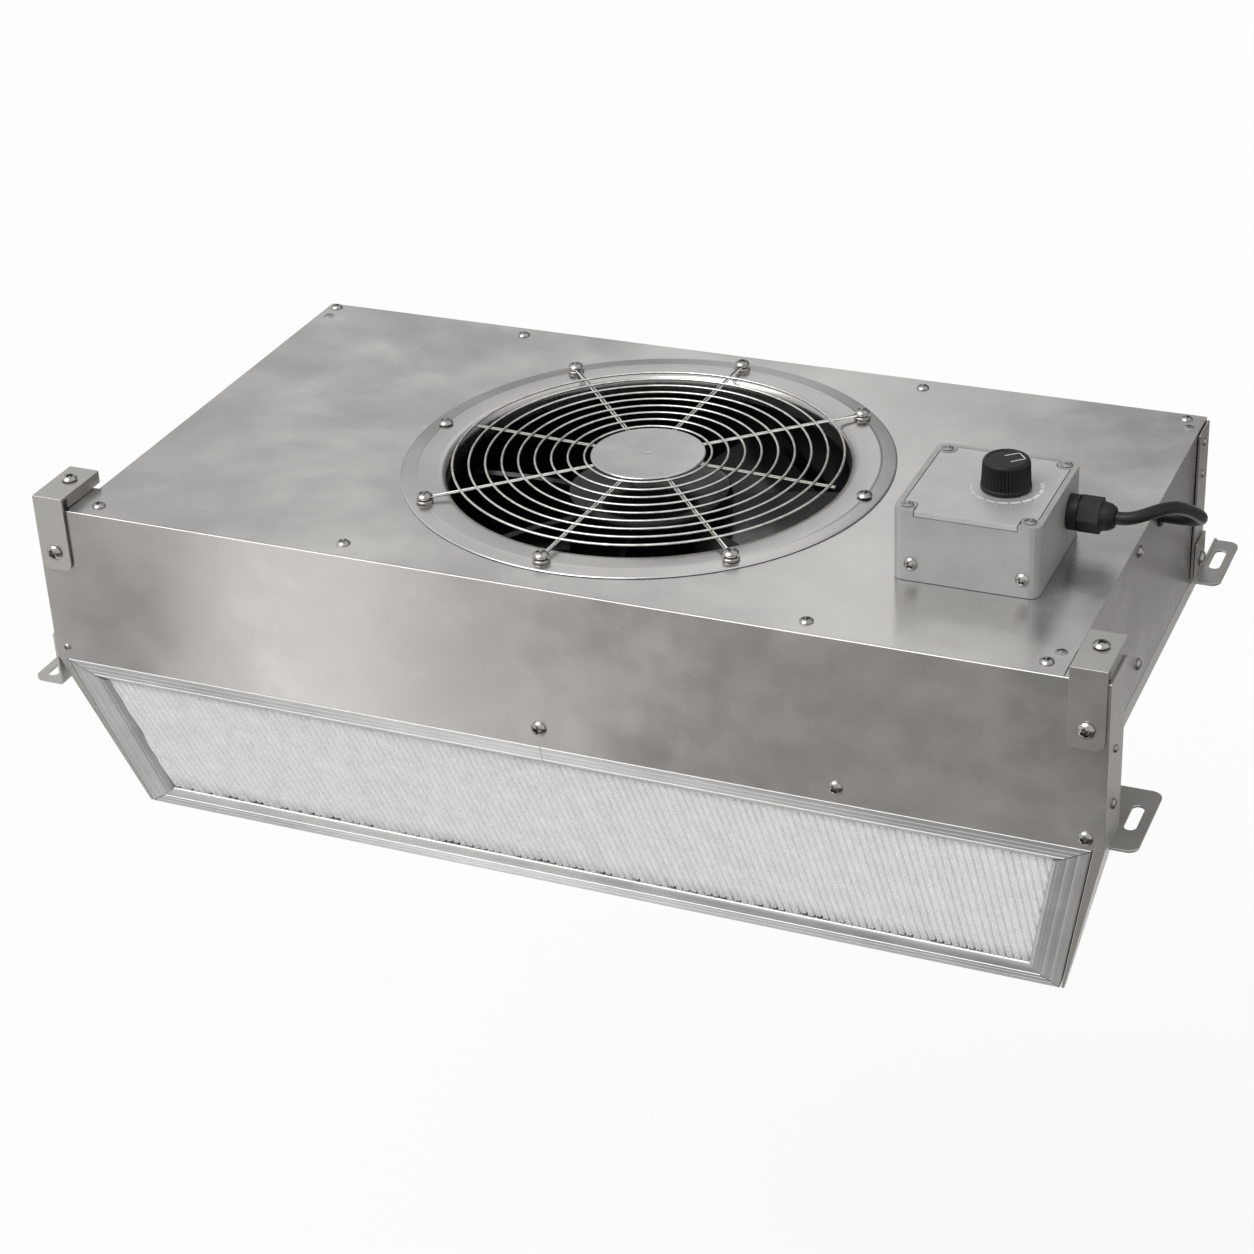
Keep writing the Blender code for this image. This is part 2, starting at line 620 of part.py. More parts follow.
# Wire finger guard: rings over hairpin spokes that end in eyes round the screws
spoke_z = FACE_Z + SPOKE_RISE + GAP + SPOKE_WIRE
ring_z = spoke_z + SPOKE_WIRE + GUARD_WIRE - WELD_SINK
rings = []
for k in range(GUARD_RINGS):
    r = GUARD_FIRST + GUARD_PITCH * k
    n = 36
    pts = [(r * math.cos(2 * math.pi * i / n), FAN_Y + r * math.sin(2 * math.pi * i / n), ring_z)
           for i in range(n)]
    rings.append(wire(pts, GUARD_WIRE, cyclic=True, resolution=0))
spokes = []
last_ring = GUARD_FIRST + GUARD_PITCH * (GUARD_RINGS - 1)
angles = [GUARD_TURN + 2 * math.pi * k / SPOKES for k in range(SPOKES)]
for k, a in enumerate(angles):
    if k % 4 == 0:
        end, eye, reach = last_ring + SPOKE_END - SPOKE_GAP, SPOKE_GAP, 90
    else:
        end, eye, reach = SCREW_CIRCLE, EYE_R, 180 - math.degrees(math.asin(SPOKE_GAP / EYE_R))
    line = [(GUARD_DISC_R - 0.006, -SPOKE_GAP)]
    line += [(end + eye * math.cos(t), eye * math.sin(t)) for t in
             [math.radians(reach * (i / 4 - 1)) for i in range(9)]]
    line += [(GUARD_DISC_R - 0.006, SPOKE_GAP)]
    pts = [(x * math.cos(a) - y * math.sin(a), FAN_Y + x * math.sin(a) + y * math.cos(a), spoke_z)
           for x, y in line]
    spokes.append(wire(pts, SPOKE_WIRE, resolution=0))
disc_low = spoke_z + SPOKE_WIRE * 0.35
profile = [(0, ring_z + GUARD_WIRE), (GUARD_DISC_R - 0.0006, ring_z + GUARD_WIRE),
           (GUARD_DISC_R, ring_z + GUARD_WIRE - 0.0006), (GUARD_DISC_R, disc_low), (0, disc_low)]
guard = turned(profile, (0, FAN_Y, 0), 40)
weld(guard, joined(spokes, "guard_spokes"))
weld(guard, joined(rings, "guard_rings"))
finish(guard, "finger_guard", BRIGHT)

# Guard screws, and the holes that they pass through
guard_holes = []
for k, a in enumerate(angles):
    x, y = SCREW_CIRCLE * math.cos(a), FAN_Y + SCREW_CIRCLE * math.sin(a)
    plain = k % 4 == 0
    z = FACE_Z + 0.0003 if plain else spoke_z + SPOKE_WIRE + GAP
    screw("guard_screw_%d" % (k + 1), (x, y, z), (0, 0, 0), HEAD_R, HEAD_H, SHANK_R * 0.8, z - h_top + 0.0035)
    guard_holes.append(rod(SHANK_R * 0.8 + HOLE_GAP, 0.03, (x, y, TOP), sides=8))
holes = joined(guard_holes, "guard_screw_holes")
for ob in (inlet_ring, top_panel, fan_housing):
    cut(ob, holes)
finish(inlet_ring, "inlet_ring", STEEL)
finish(fan_housing, "fan_housing", BLACK)

# Speed control box
bx0, bx1 = X1 - BOX_IN - BOX_W, X1 - BOX_IN
by0, by1 = YF + BOX_Y, YF + BOX_Y + BOX_D
bz0 = TOP + GAP
lid_z = bz0 + BOX_H - LID_T
box_mid = ((bx0 + bx1) / 2, (by0 + by1) / 2)


def as_mesh(ob):
    """The curve as a mesh, its doubled points welded."""
    bpy.ops.object.select_all(action='DESELECT')
    ob.select_set(True)
    bpy.context.view_layer.objects.active = ob
    bpy.ops.object.convert(target='MESH')
    ob = bpy.context.object
    wd = ob.modifiers.new("weld", 'WELD')
    wd.merge_threshold = 0.00002
    return ob


def rounded(x0, x1, y0, y1, z0, z1, r):
    """Box with round upright edges, from a 2D outline."""
    pts = []
    for cx, cy, a0 in ((x1 - r, y1 - r, 0), (x0 + r, y1 - r, 90), (x0 + r, y0 + r, 180),
                       (x1 - r, y0 + r, 270)):
        for d in (0, 30, 60, 90):
            t = math.radians(a0 + d)
            pts.append((cx + r * math.cos(t) - box_mid[0], cy + r * math.sin(t) - box_mid[1]))
    ob = outline(pts, z1 - z0)
    ob.location = (*box_mid, (z0 + z1) / 2)
    return as_mesh(ob)


box_top = bz0 + BOX_H
box_body = rounded(bx0, bx1, by0, by1, bz0, box_top, BOX_R)
ears = [(sx, sy, box_mid[0] + sx * (BOX_W / 2 - BOX_EAR), box_mid[1] + sy * (BOX_D / 2 - BOX_EAR))
        for sx, sy in ((-1, -1), (1, -1), (1, 1), (-1, 1))]
pocket = as_cutter(block(bx0 + BOX_WALL, bx1 - BOX_WALL, by0 + BOX_WALL, by1 - BOX_WALL, bz0 + BOX_WALL,
                         box_top + 0.01), "box_pocket")
pillars = [rod(BOX_EAR_R, 0.1, (px, py, box_top), sides=16) for sx, sy, px, py in ears]
cut(pocket, joined(pillars, "box_pillars"))
cut(box_body, pocket)
ear = BOX_EAR + BOX_EAR_R
mouth = block(bx0 + ear, bx1 - ear, by0 - 0.01, by0 + BOX_WALL + 0.001, lid_z - GAP, box_top + 0.01)
cut(box_body, as_cutter(mouth, "box_mouth"))
lid = block(bx0 + BOX_WALL + GAP, bx1 - BOX_WALL - GAP, by0, by1 - BOX_WALL - GAP, lid_z, box_top)
lid_holes = []
for i, (sx, sy, px, py) in enumerate(ears):
    xi = px - sx * (BOX_EAR_R + GAP) if sy < 0 else px
    xa, xb = sorted((xi, px + sx * 0.02))
    ya, yb = sorted((py, py + sy * 0.02))
    corner = block(xa, xb, ya, yb, lid_z - 0.01, box_top + 0.01)
    cut(lid, as_cutter(corner, "lid_corner_%d" % (i + 1)))
    ear_rod = rod(BOX_EAR_R + GAP, 0.03, (px, py, box_top), sides=16)
    cut(lid, as_cutter(ear_rod, "lid_ear_%d" % (i + 1)))
    screw("box_screw_%d" % (i + 1), (px, py, box_top + GAP), (0, 0, 0), SMALL_HEAD_R, SMALL_HEAD_H,
          SMALL_SHANK_R, 0.012)
    lid_holes.append(rod(SMALL_SHANK_R + HOLE_GAP, 0.026, (px, py, box_top), sides=8))
knob_at = (box_mid[0] + KNOB_X, box_mid[1], box_top)
cut(box_body, joined(lid_holes, "box_screw_holes"))
cut(lid, as_cutter(rod(POT_BUSH_R + HOLE_GAP, 0.03, knob_at, sides=16), "lid_bush_hole"))
gland_at = (bx1, by1 - GLAND_IN, bz0 + GLAND_Z)
port = as_cutter(rod(THREAD_R + HOLE_GAP, 0.012, gland_at, 'X', 16), "gland_port")
cut(box_body, port)
finish(box_body, "control_box", CAST)
finish(lid, "control_box_lid", CAST)

# Potentiometer, its shaft and the knob
profile = [(POT_SHAFT_R + GAP, POT_BUSH_L), (POT_BUSH_R, POT_BUSH_L), (POT_BUSH_R, -LID_T - GAP),
           (POT_R, -LID_T - GAP), (POT_R, -LID_T - POT_L), (POT_SHAFT_R + GAP, -LID_T - POT_L)]
pot = turned(profile, knob_at, 20, closed=True)
finish(pot, "potentiometer", ALU)
profile = [(0, KNOB_H - 0.004), (POT_SHAFT_R, KNOB_H - 0.004), (POT_SHAFT_R, -LID_T - POT_L + GAP),
           (0, -LID_T - POT_L + GAP)]
finish(turned(profile, knob_at, 16), "potentiometer_shaft", BRIGHT)

flutes = 2 * KNOB_FLUTES
pts = [((KNOB_R - FLUTE_D * (i % 2)) * math.cos(2 * math.pi * i / flutes),
        (KNOB_R - FLUTE_D * (i % 2)) * math.sin(2 * math.pi * i / flutes)) for i in range(flutes)]
grip_h = KNOB_H - KNOB_SKIRT
grip = outline(pts, grip_h)
knob = joined([grip], "knob_grip")
for v in knob.data.vertices:
    k = 1 - KNOB_TAPER / KNOB_R * (0.5 + v.co.z / grip_h)
    v.co.x *= k
    v.co.y *= k
knob.hide_render = False
knob.display_type = 'TEXTURED'
cutters.objects.unlink(knob)
scene.collection.objects.link(knob)
knob.location = (knob_at[0], knob_at[1], knob_at[2] + 0.0010 + grip_h / 2)
wd = knob.modifiers.new("weld", 'WELD')
wd.merge_threshold = 0.00002
rim = KNOB_R - KNOB_TAPER
profile = [(0, KNOB_H), (rim - 0.0020, KNOB_H), (rim - 0.0008, KNOB_H - 0.0012),
           (rim - 0.0007, KNOB_H - 0.0040), (0, KNOB_H - 0.0040)]
crown = turned(profile, knob_at, 32)
weld(knob, joined([crown], "knob_crown"))
profile = [(0, KNOB_SKIRT), (KNOB_R + 0.0003, KNOB_SKIRT), (KNOB_R + 0.0006, 0.0005), (0, 0.0005)]
weld(knob, joined([turned(profile, knob_at, 32)], "knob_skirt"))
bore = rod(POT_SHAFT_R + GAP, 2 * (KNOB_H - 0.0035), knob_at, sides=16)
bush_bore = rod(POT_BUSH_R + GAP, 2 * (POT_BUSH_L + 2 * GAP), knob_at, sides=20)
cut(knob, as_cutter(bore, "knob_bore"))
cut(knob, as_cutter(bush_bore, "knob_bush_bore"))
finish(knob, "speed_knob", DULL)

board_z = bz0 + BOX_WALL + GAP
board = block(bx0 + BOARD_IN_X, bx1 - BOARD_IN_X, by0 + BOARD_IN_Y, by1 - BOARD_IN_Y,
              board_z, board_z + BOARD_T)
finish(board, "speed_control_board", BOARD)

# Cable gland and the link cable
bore_r = CABLE_R + GAP
stub = GLAND_FLANGE + HEX_L * 0.6
profile = [(THREAD_R, -BOX_WALL - THREAD_IN), (bore_r, -BOX_WALL - THREAD_IN), (bore_r, stub),
           (THREAD_R, stub),
           (THREAD_R, GLAND_FLANGE), (GLAND_R, GLAND_FLANGE), (GLAND_R, GAP), (THREAD_R, GAP)]
gland = turned(profile, gland_at, 20, closed=True, turn=TO_RIGHT)
finish(gland, "cable_gland", DULL)
hex_x = gland_at[0] + GLAND_FLANGE + GAP
nut = rod(HEX_R, HEX_L, (hex_x + HEX_L / 2, gland_at[1], gland_at[2]), 'X', 6)
dome_at = (hex_x + HEX_L, gland_at[1], gland_at[2])
profile = [(0, DOME_L), (CABLE_R + 0.0020, DOME_L), (0.0072, DOME_L * 0.6), (0.0081, -0.0005), (0, -0.0005)]
weld(nut, joined([turned(profile, dome_at, 20, turn=TO_RIGHT)], "gland_nut_dome"))
nut_bore = rod(bore_r, 0.06, dome_at, 'X', 16)
cut(nut, as_cutter(nut_bore, "gland_nut_bore"))
thread_bore = rod(THREAD_R + GAP, 2 * (stub + GAP), gland_at, 'X', 20)
cut(nut, as_cutter(thread_bore, "gland_nut_thread"))
finish(nut, "gland_nut", DULL)
lock = rod(LOCK_R, LOCK_T, (bx1 - BOX_WALL - GAP - LOCK_T / 2, gland_at[1], gland_at[2]), 'X', 6)
lock_bore = rod(THREAD_R + GAP, 0.02, (bx1 - BOX_WALL, gland_at[1], gland_at[2]), 'X', 20)
cut(lock, as_cutter(lock_bore, "gland_lock_bore"))
finish(lock, "gland_lock_nut", BRIGHT)

entry = (XS, CABLE_IN_Y, CABLE_IN_Z)
gy, gz = gland_at[1], gland_at[2]
gland_end = Vector((bx1 + 0.0262, gy, gz))
bend = Vector((XS + 0.0251, gy + 0.0428, gz - 0.0135))
bend_way = Vector((0.0095, 0.0313, -0.0239))
side_end = Vector((XS + 0.0032, CABLE_IN_Y, CABLE_IN_Z))
route = [Vector((bx1 + 0.002, gy, gz))]
for p0, p1, p2, p3 in (
        (gland_end, gland_end + Vector((0.0141, 0, 0)), bend - bend_way, bend),
        (bend, bend + 0.5 * bend_way, side_end + Vector((0.0119, 0, 0)), side_end)):
    for k in range(12):
        t = k / 12
        route.append((1 - t) ** 3 * p0 + 3 * t * (1 - t) ** 2 * p1 + 3 * t * t * (1 - t) * p2 + t ** 3 * p3)
route += [side_end, side_end - Vector((0.0092, 0, 0))]
cable = wire(route, CABLE_R, resolution=2)
finish(cable, "link_cable", DULL)

groove_in, groove_out = CABLE_R + 0.0010, CABLE_R + 0.0026
profile = [(bore_r, 0.0012), (groove_out - 0.0004, 0.0012), (groove_out, 0.0008), (groove_out, GAP),
           (groove_in, GAP), (groove_in, -SHEET - GAP), (groove_in + 0.0008, -SHEET - GAP),
           (groove_in + 0.0008, -SHEET - 0.0014), (bore_r, -SHEET - 0.0014)]
grommet = turned(profile, entry, 20, closed=True, turn=TO_RIGHT)
finish(grommet, "cable_grommet", DULL)
entry_hole = as_cutter(rod(groove_in + GAP, 0.010, entry, 'X', 20), "side_panel_cable_hole")
cut(bpy.data.objects["side_panel_right"], entry_hole)

# Top corner brackets: a folded cap with a leg down the front
for side, tag in ((-1, "left"), (1, "right")):
    xo = X0 - CLIP_IN
    xi = xo - CLIP_W
    za, zb = TOP + CLIP_RISE - SHEET, TOP + CLIP_RISE
    y_face = YF - GAP
    parts = []
    for a, b, c, d, e, g in (
            (xi, xo, y_face - SHEET, YF + CLIP_D - SHEET, za, zb),
            (xi, xi + SHEET, YF + 0.004, YF + CLIP_D - SHEET, TOP + GAP, za + SHEET / 2),
            (xo - SHEET, xo, YF + 0.004, YF + CLIP_D - SHEET, TOP + GAP, za + SHEET / 2)):
        xa, xb = sorted((side * a, side * b))
        parts.append(block(xa, xb, c, d, e, g))
    xa, xb = sorted((side * xi, side * xo))
    pts = [(CLIP_W / 2, CLIP_LEG - SHEET / 2), (-CLIP_W / 2, CLIP_LEG - SHEET / 2)]
    for cx, a0 in ((-CLIP_W / 2 + CLIP_R, 180), (CLIP_W / 2 - CLIP_R, 270)):
        for d in (0, 30, 60, 90):
            t = math.radians(a0 + d)
            pts.append((cx + CLIP_R * math.cos(t), CLIP_R + CLIP_R * math.sin(t)))
    leg = outline(pts, SHEET)
    leg.location = ((xa + xb) / 2, y_face - SHEET / 2, TOP + CLIP_RISE - CLIP_LEG)
    leg.rotation_euler = TO_FRONT
    clip = parts[0]
    for i, p in enumerate(parts[1:] + [leg]):
        weld(clip, joined([p], "clip_fold_%s_%d" % (tag, i + 1)))
    mid = side * (xi + xo) / 2
    top_at = (mid, YF + CLIP_TOP_SCREW, zb + GAP)
    leg_at = (mid, y_face - SHEET - GAP, TOP + CLIP_RISE - CLIP_LEG + CLIP_LEG_SCREW)
    screw("clip_top_screw_" + tag, top_at, (0, 0, 0), HEAD_R, HEAD_H, SHANK_R, CLIP_RISE + 0.006)
    screw("clip_leg_screw_" + tag, leg_at, TO_FRONT, HEAD_R, HEAD_H, SHANK_R, 0.008)
    bores = joined([rod(SHANK_R + HOLE_GAP, 0.05, top_at, 'Z', 12),
                    rod(SHANK_R + HOLE_GAP, 0.03, leg_at, 'Y', 12)],
                   "clip_holes_" + tag)
    cut(clip, bores)
    cut(front_panel, bores)
    finish(clip, "hanging_bracket_" + tag, STEEL)


def slot_cutter(x, y, z, name):
    """Long hole along Y."""
    r = SLOT_W / 2
    pts = []
    for cy, a0 in ((SLOT_L / 2 - r, 0), (-SLOT_L / 2 + r, 180)):
        for d in (0, 30, 60, 90, 120, 150, 180):
            t = math.radians(a0 + d)
            pts.append((r * math.cos(t), cy + r * math.sin(t)))
    ob = outline(pts, 0.012)
    ob.location = (x, y, z)
    return joined([ob], name)


# Lower brackets: one bent strip, an upright leg and a slotted plate
def foot(name, x_leg, x_out, y0, y1, z_plate, z_leg, leg_y1, slot, screw_at):
    side = 1 if x_out > 0 else -1
    wide, tall, bend = abs(x_out - x_leg), z_leg - z_plate, FOOT_T * 0.8
    section = [(0, bend), (bend * 0.3, bend * 0.3), (bend, 0), (wide, 0), (wide, FOOT_T),
               (FOOT_T + bend * 0.4, FOOT_T), (FOOT_T, FOOT_T + bend * 0.4), (FOOT_T, tall), (0, tall)]
    plate = outline([(side * x, z) for x, z in section], y1 - y0)
    plate.location = (x_leg, (y0 + y1) / 2, z_plate)
    plate.rotation_euler = (math.pi / 2, 0, 0)
    plate = as_mesh(plate)
    if leg_y1 < y1 - 0.001:
        xa, xb = sorted((x_leg - side * 0.002, x_leg + side * (FOOT_T + 0.002)))
        notch = block(xa, xb, leg_y1, y1 + 0.002, z_plate + FOOT_T + 0.0010, z_leg + 0.002)
        cut(plate, as_cutter(notch, name + "_notch"))
    for y_end, sy in ((y0, -1), (y1, 1)):
        xa, xb = sorted((x_out - side * FOOT_R, x_out + side * 0.002))
        ya, yb = sorted((y_end - sy * FOOT_R, y_end + sy * 0.002))
        corner = as_cutter(block(xa, xb, ya, yb, z_plate - 0.004, z_plate + FOOT_T + 0.004), name + "_corner")
        arc = rod(FOOT_R + 0.00005, 0.03, (x_out - side * FOOT_R, y_end - sy * FOOT_R, z_plate), sides=24)
        cut(corner, as_cutter(arc, name + "_arc"))
        cut(plate, corner)
    cut(plate, slot_cutter(*slot, name + "_slot"))
    at = (x_leg + side * (FOOT_T + GAP), screw_at[0], screw_at[1])
    screw(name + "_screw", at, TO_RIGHT if side > 0 else TO_LEFT, HEAD_R, HEAD_H, SHANK_R, 0.006)
    bore = joined([rod(SHANK_R + HOLE_GAP, 0.03, at, 'X', 12)], name + "_hole")
    cut(plate, bore)
    finish(plate, name, STEEL)
    return bore


strip_mid = YB - STRIP_D / 2
side_right = bpy.data.objects["side_panel_right"]
side_left = bpy.data.objects["side_panel_left"]
leg_x = XS + GAP
yr = YF + POST_D + 0.002
hole = foot("front_bracket_right", leg_x, leg_x + FOOT_W, yr, yr + FOOT_L, -FOOT_LOW - FOOT_T, 0.012,
            yr + FOOT_L, (leg_x + FOOT_W - 0.009, yr + 0.031, -FOOT_LOW), (yr + FOOT_L / 2, 0.006))
cut(side_right, hole)
end_x = X0 + GAP
hole = foot("front_bracket_left", -end_x, -end_x - LEFT_FOOT_W, YF + 0.0008, YF + 0.0008 + FOOT_L,
            -FOOT_LOW - FOOT_T, 0.014, YF + POST_D - 0.001,
            (-end_x - LEFT_FOOT_W / 2 - 0.0015, YF + 0.018, -FOOT_LOW), (YF + POST_D / 2, 0.007))
cut(front_panel, hole)
for side, tag, panel in ((-1, "left", side_left), (1, "right", side_right)):
    x_leg = side * (strip_x + GAP)
    ya = YB - STRIP_D + 0.001
    hole = foot("rear_bracket_" + tag, x_leg, x_leg + side * REAR_FOOT_W, ya, YB + REAR_FOOT_OUT, 0, FOOT_LEG,
                YB - 0.001, (x_leg + side * (REAR_FOOT_W / 2 - 0.0003), YB + 0.010, 0), (strip_mid, 0.012))
    cut(back_panel, hole)
    cut(panel, hole)
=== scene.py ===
import math
import bmesh
import bpy
from mathutils import Matrix, Vector


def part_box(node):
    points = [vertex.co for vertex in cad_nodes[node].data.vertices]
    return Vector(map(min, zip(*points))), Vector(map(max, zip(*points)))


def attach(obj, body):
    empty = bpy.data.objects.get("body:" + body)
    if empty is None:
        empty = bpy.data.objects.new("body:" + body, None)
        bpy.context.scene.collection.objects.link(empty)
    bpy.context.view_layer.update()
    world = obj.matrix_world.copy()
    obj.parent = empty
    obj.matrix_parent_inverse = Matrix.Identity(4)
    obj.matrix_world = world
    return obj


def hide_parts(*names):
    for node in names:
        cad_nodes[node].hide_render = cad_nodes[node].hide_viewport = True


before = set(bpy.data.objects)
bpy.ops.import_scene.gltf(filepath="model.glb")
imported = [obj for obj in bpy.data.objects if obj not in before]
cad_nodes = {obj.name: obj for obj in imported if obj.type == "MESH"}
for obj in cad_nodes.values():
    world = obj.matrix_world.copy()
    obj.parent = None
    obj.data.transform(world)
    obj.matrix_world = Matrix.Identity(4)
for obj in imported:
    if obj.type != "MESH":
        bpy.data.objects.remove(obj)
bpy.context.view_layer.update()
scene = bpy.context.scene

# Camera
# It stands in front of the unit, to the right of it and above, and was solved from
# the corners of the casing. It leans over by a few degrees, as the photograph does.
camera_place = Vector((0.57085, -1.29719, 0.78879))
camera_azimuth = math.radians(24.369)
camera_elevation = math.radians(29.333)
camera_roll = math.radians(-2.895)
camera_back = Vector((math.sin(camera_azimuth) * math.cos(camera_elevation),
                      -math.cos(camera_azimuth) * math.cos(camera_elevation),
                      math.sin(camera_elevation)))
level_right = (-camera_back).cross(Vector((0, 0, 1))).normalized()
level_up = level_right.cross(-camera_back)
camera_right = level_right * math.cos(camera_roll) + level_up * math.sin(camera_roll)
camera_up = -level_right * math.sin(camera_roll) + level_up * math.cos(camera_roll)
camera_data = bpy.data.cameras.new("studio_camera")
camera_data.sensor_width = 36.0
camera_data.lens = 80.77


def add_object(name, data):
    """A new object with the given data, linked to the scene."""
    made = bpy.data.objects.new(name, data)
    scene.collection.objects.link(made)
    return made


camera = add_object("studio_camera", camera_data)
axes = Matrix((camera_right, camera_up, camera_back)).transposed()
camera.matrix_world = Matrix.Translation(camera_place) @ axes.to_4x4()
scene.camera = camera

# Link cable
# A black sheathed cable of 7 mm runs from the gland of the dial box over the edge of
# the top, turns round and goes in through a grommet in the right side of the casing.


def to_linear(code):
    """The linear colour of an sRGB hex code."""
    channels = [int(code[i:i + 2], 16) / 255 for i in (1, 3, 5)]
    return (*[c / 12.92 if c <= 0.04045 else ((c + 0.055) / 1.055) ** 2.4 for c in channels], 1.0)


def connect(tree, node, **inputs):
    """Gives a node's inputs values or output sockets: i0 is the first one, Base_Color is Base Color."""
    for key, value in inputs.items():
        numbered = key[0] == "i" and key[1:].isdigit()
        socket = node.inputs[int(key[1:]) if numbered else key.replace("_", " ")]
        if isinstance(value, bpy.types.NodeSocket):
            tree.links.new(value, socket)
        else:
            socket.default_value = value
    return node


def add_node(tree, kind, settings=None, **inputs):
    """Adds one node; settings are its properties, and its inputs are given as connect takes them."""
    made = tree.nodes.new(kind)
    for key, value in (settings or {}).items():
        setattr(made, key, value)
    return connect(tree, made, **inputs)


def new_material(name):
    """An empty material, its tree, its Principled shader and its Object coordinates."""
    material = bpy.data.materials.new(name)
    material.use_nodes = True
    tree = material.node_tree
    tree.nodes.clear()
    shader = add_node(tree, "ShaderNodeBsdfPrincipled")
    add_node(tree, "ShaderNodeOutputMaterial", Surface=shader.outputs["BSDF"])
    place = add_node(tree, "ShaderNodeTexCoord").outputs["Object"]
    return material, tree, shader, place


def bump(tree, height, strength, distance):
    """A bump normal; distance is the relief's height in metres."""
    made = add_node(tree, "ShaderNodeBump", Strength=strength, Distance=distance, Height=height)
    return made.outputs["Normal"]


def noise(tree, place, size, detail=2.0, stretch=(1, 1, 1), roughness=0.5):
    """Noise whose features are about size metres, drawn out along an axis by stretch."""
    spread = add_node(tree, "ShaderNodeMapping", i0=place, Scale=[1 / s for s in stretch])
    made = add_node(tree, "ShaderNodeTexNoise", Vector=spread.outputs["Vector"], Scale=1 / size,
                    Detail=detail, Roughness=roughness)
    return made.outputs[0]


def settle(piece, slot, *stands_for, body="casing"):
    """A piece rides a body and stands for the named CAD nodes; its slot is not used."""
    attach(piece, body)
    if stands_for:
        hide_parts(*stands_for)
    return piece


cable_radius, cable_steps = 0.0035, 16
gland_mouth = Vector((0.2752, -0.0260, 0.1188))
turn_place = Vector((0.3061, 0.0168, 0.1053))
side_mouth = Vector((0.2842, 0.0460, 0.0860))
turn_way = Vector((0.0095, 0.0313, -0.0239))
out_reach, in_reach = Vector((0.0141, 0, 0)), Vector((0.0119, 0, 0))
cable_line = [Vector((0.2735, -0.0260, 0.1188))]
for start, leaving, arriving, end in (
        (gland_mouth, gland_mouth + out_reach, turn_place - turn_way, turn_place),
        (turn_place, turn_place + turn_way / 2, side_mouth + in_reach, side_mouth)):
    for k in range(cable_steps):
        t = k / cable_steps
        cable_line.append((1 - t) ** 3 * start + 3 * t * (1 - t) ** 2 * leaving
                          + 3 * t * t * (1 - t) * arriving + t ** 3 * end)
in_grommet = Vector((0.0052, 0, 0))
cable_line += [side_mouth, side_mouth - in_grommet]
cable_curve = bpy.data.curves.new("link_cable_sheath", 'CURVE')
cable_curve.dimensions = '3D'
cable_curve.bevel_depth = cable_radius
cable_curve.bevel_resolution = 5
cable_curve.use_fill_caps = True
strand = cable_curve.splines.new('POLY')
strand.points.add(len(cable_line) - 1)
for point, at in zip(strand.points, cable_line):
    point.co = (*at, 1)
sheath = add_object("link_cable_sheath", cable_curve)

material, tree, shader, place = new_material("black cable sheath")
grain = noise(tree, place, 0.0012, detail=3)
connect(tree, shader, Base_Color=to_linear("#121213"), Roughness=0.40, Specular_IOR_Level=0.3,
        Normal=bump(tree, grain, 0.15, 0.0001))
cable_curve.materials.append(material)
settle(sheath, "cable_black", "link_cable")

# Folded casing
# The front, the top, the two sides and the back are stainless sheet of 1.5 mm with a
# fine brushed finish, bent on a press and riveted. Their edges are eased by hand.


def ramp(tree, factor, stops):
    """A colour ramp with the given (position, hex code) stops."""
    made = add_node(tree, "ShaderNodeValToRGB", Fac=factor)
    elements = made.color_ramp.elements
    while len(elements) < len(stops):
        elements.new(0.5)
    for element, (position, code) in zip(elements, stops):
        element.position = position
        element.color = to_linear(code)
    return made.outputs["Color"]


def span(tree, value, low, high, to_low, to_high):
    """Maps a value from one span to another, clamped."""
    made = add_node(tree, "ShaderNodeMapRange", i0=value, i1=low, i2=high, i3=to_low, i4=to_high)
    return made.outputs["Result"]


def work_out(tree, operation, *values):
    """The result of one sum in a node tree."""
    values = {"i%d" % i: value for i, value in enumerate(values)}
    return add_node(tree, "ShaderNodeMath", {"operation": operation}, **values).outputs[0]


steel_light, steel_dark, steel_speck = "#C3C1BE", "#B3B1AE", "#7E7A74"
speck_spacing = 0.055


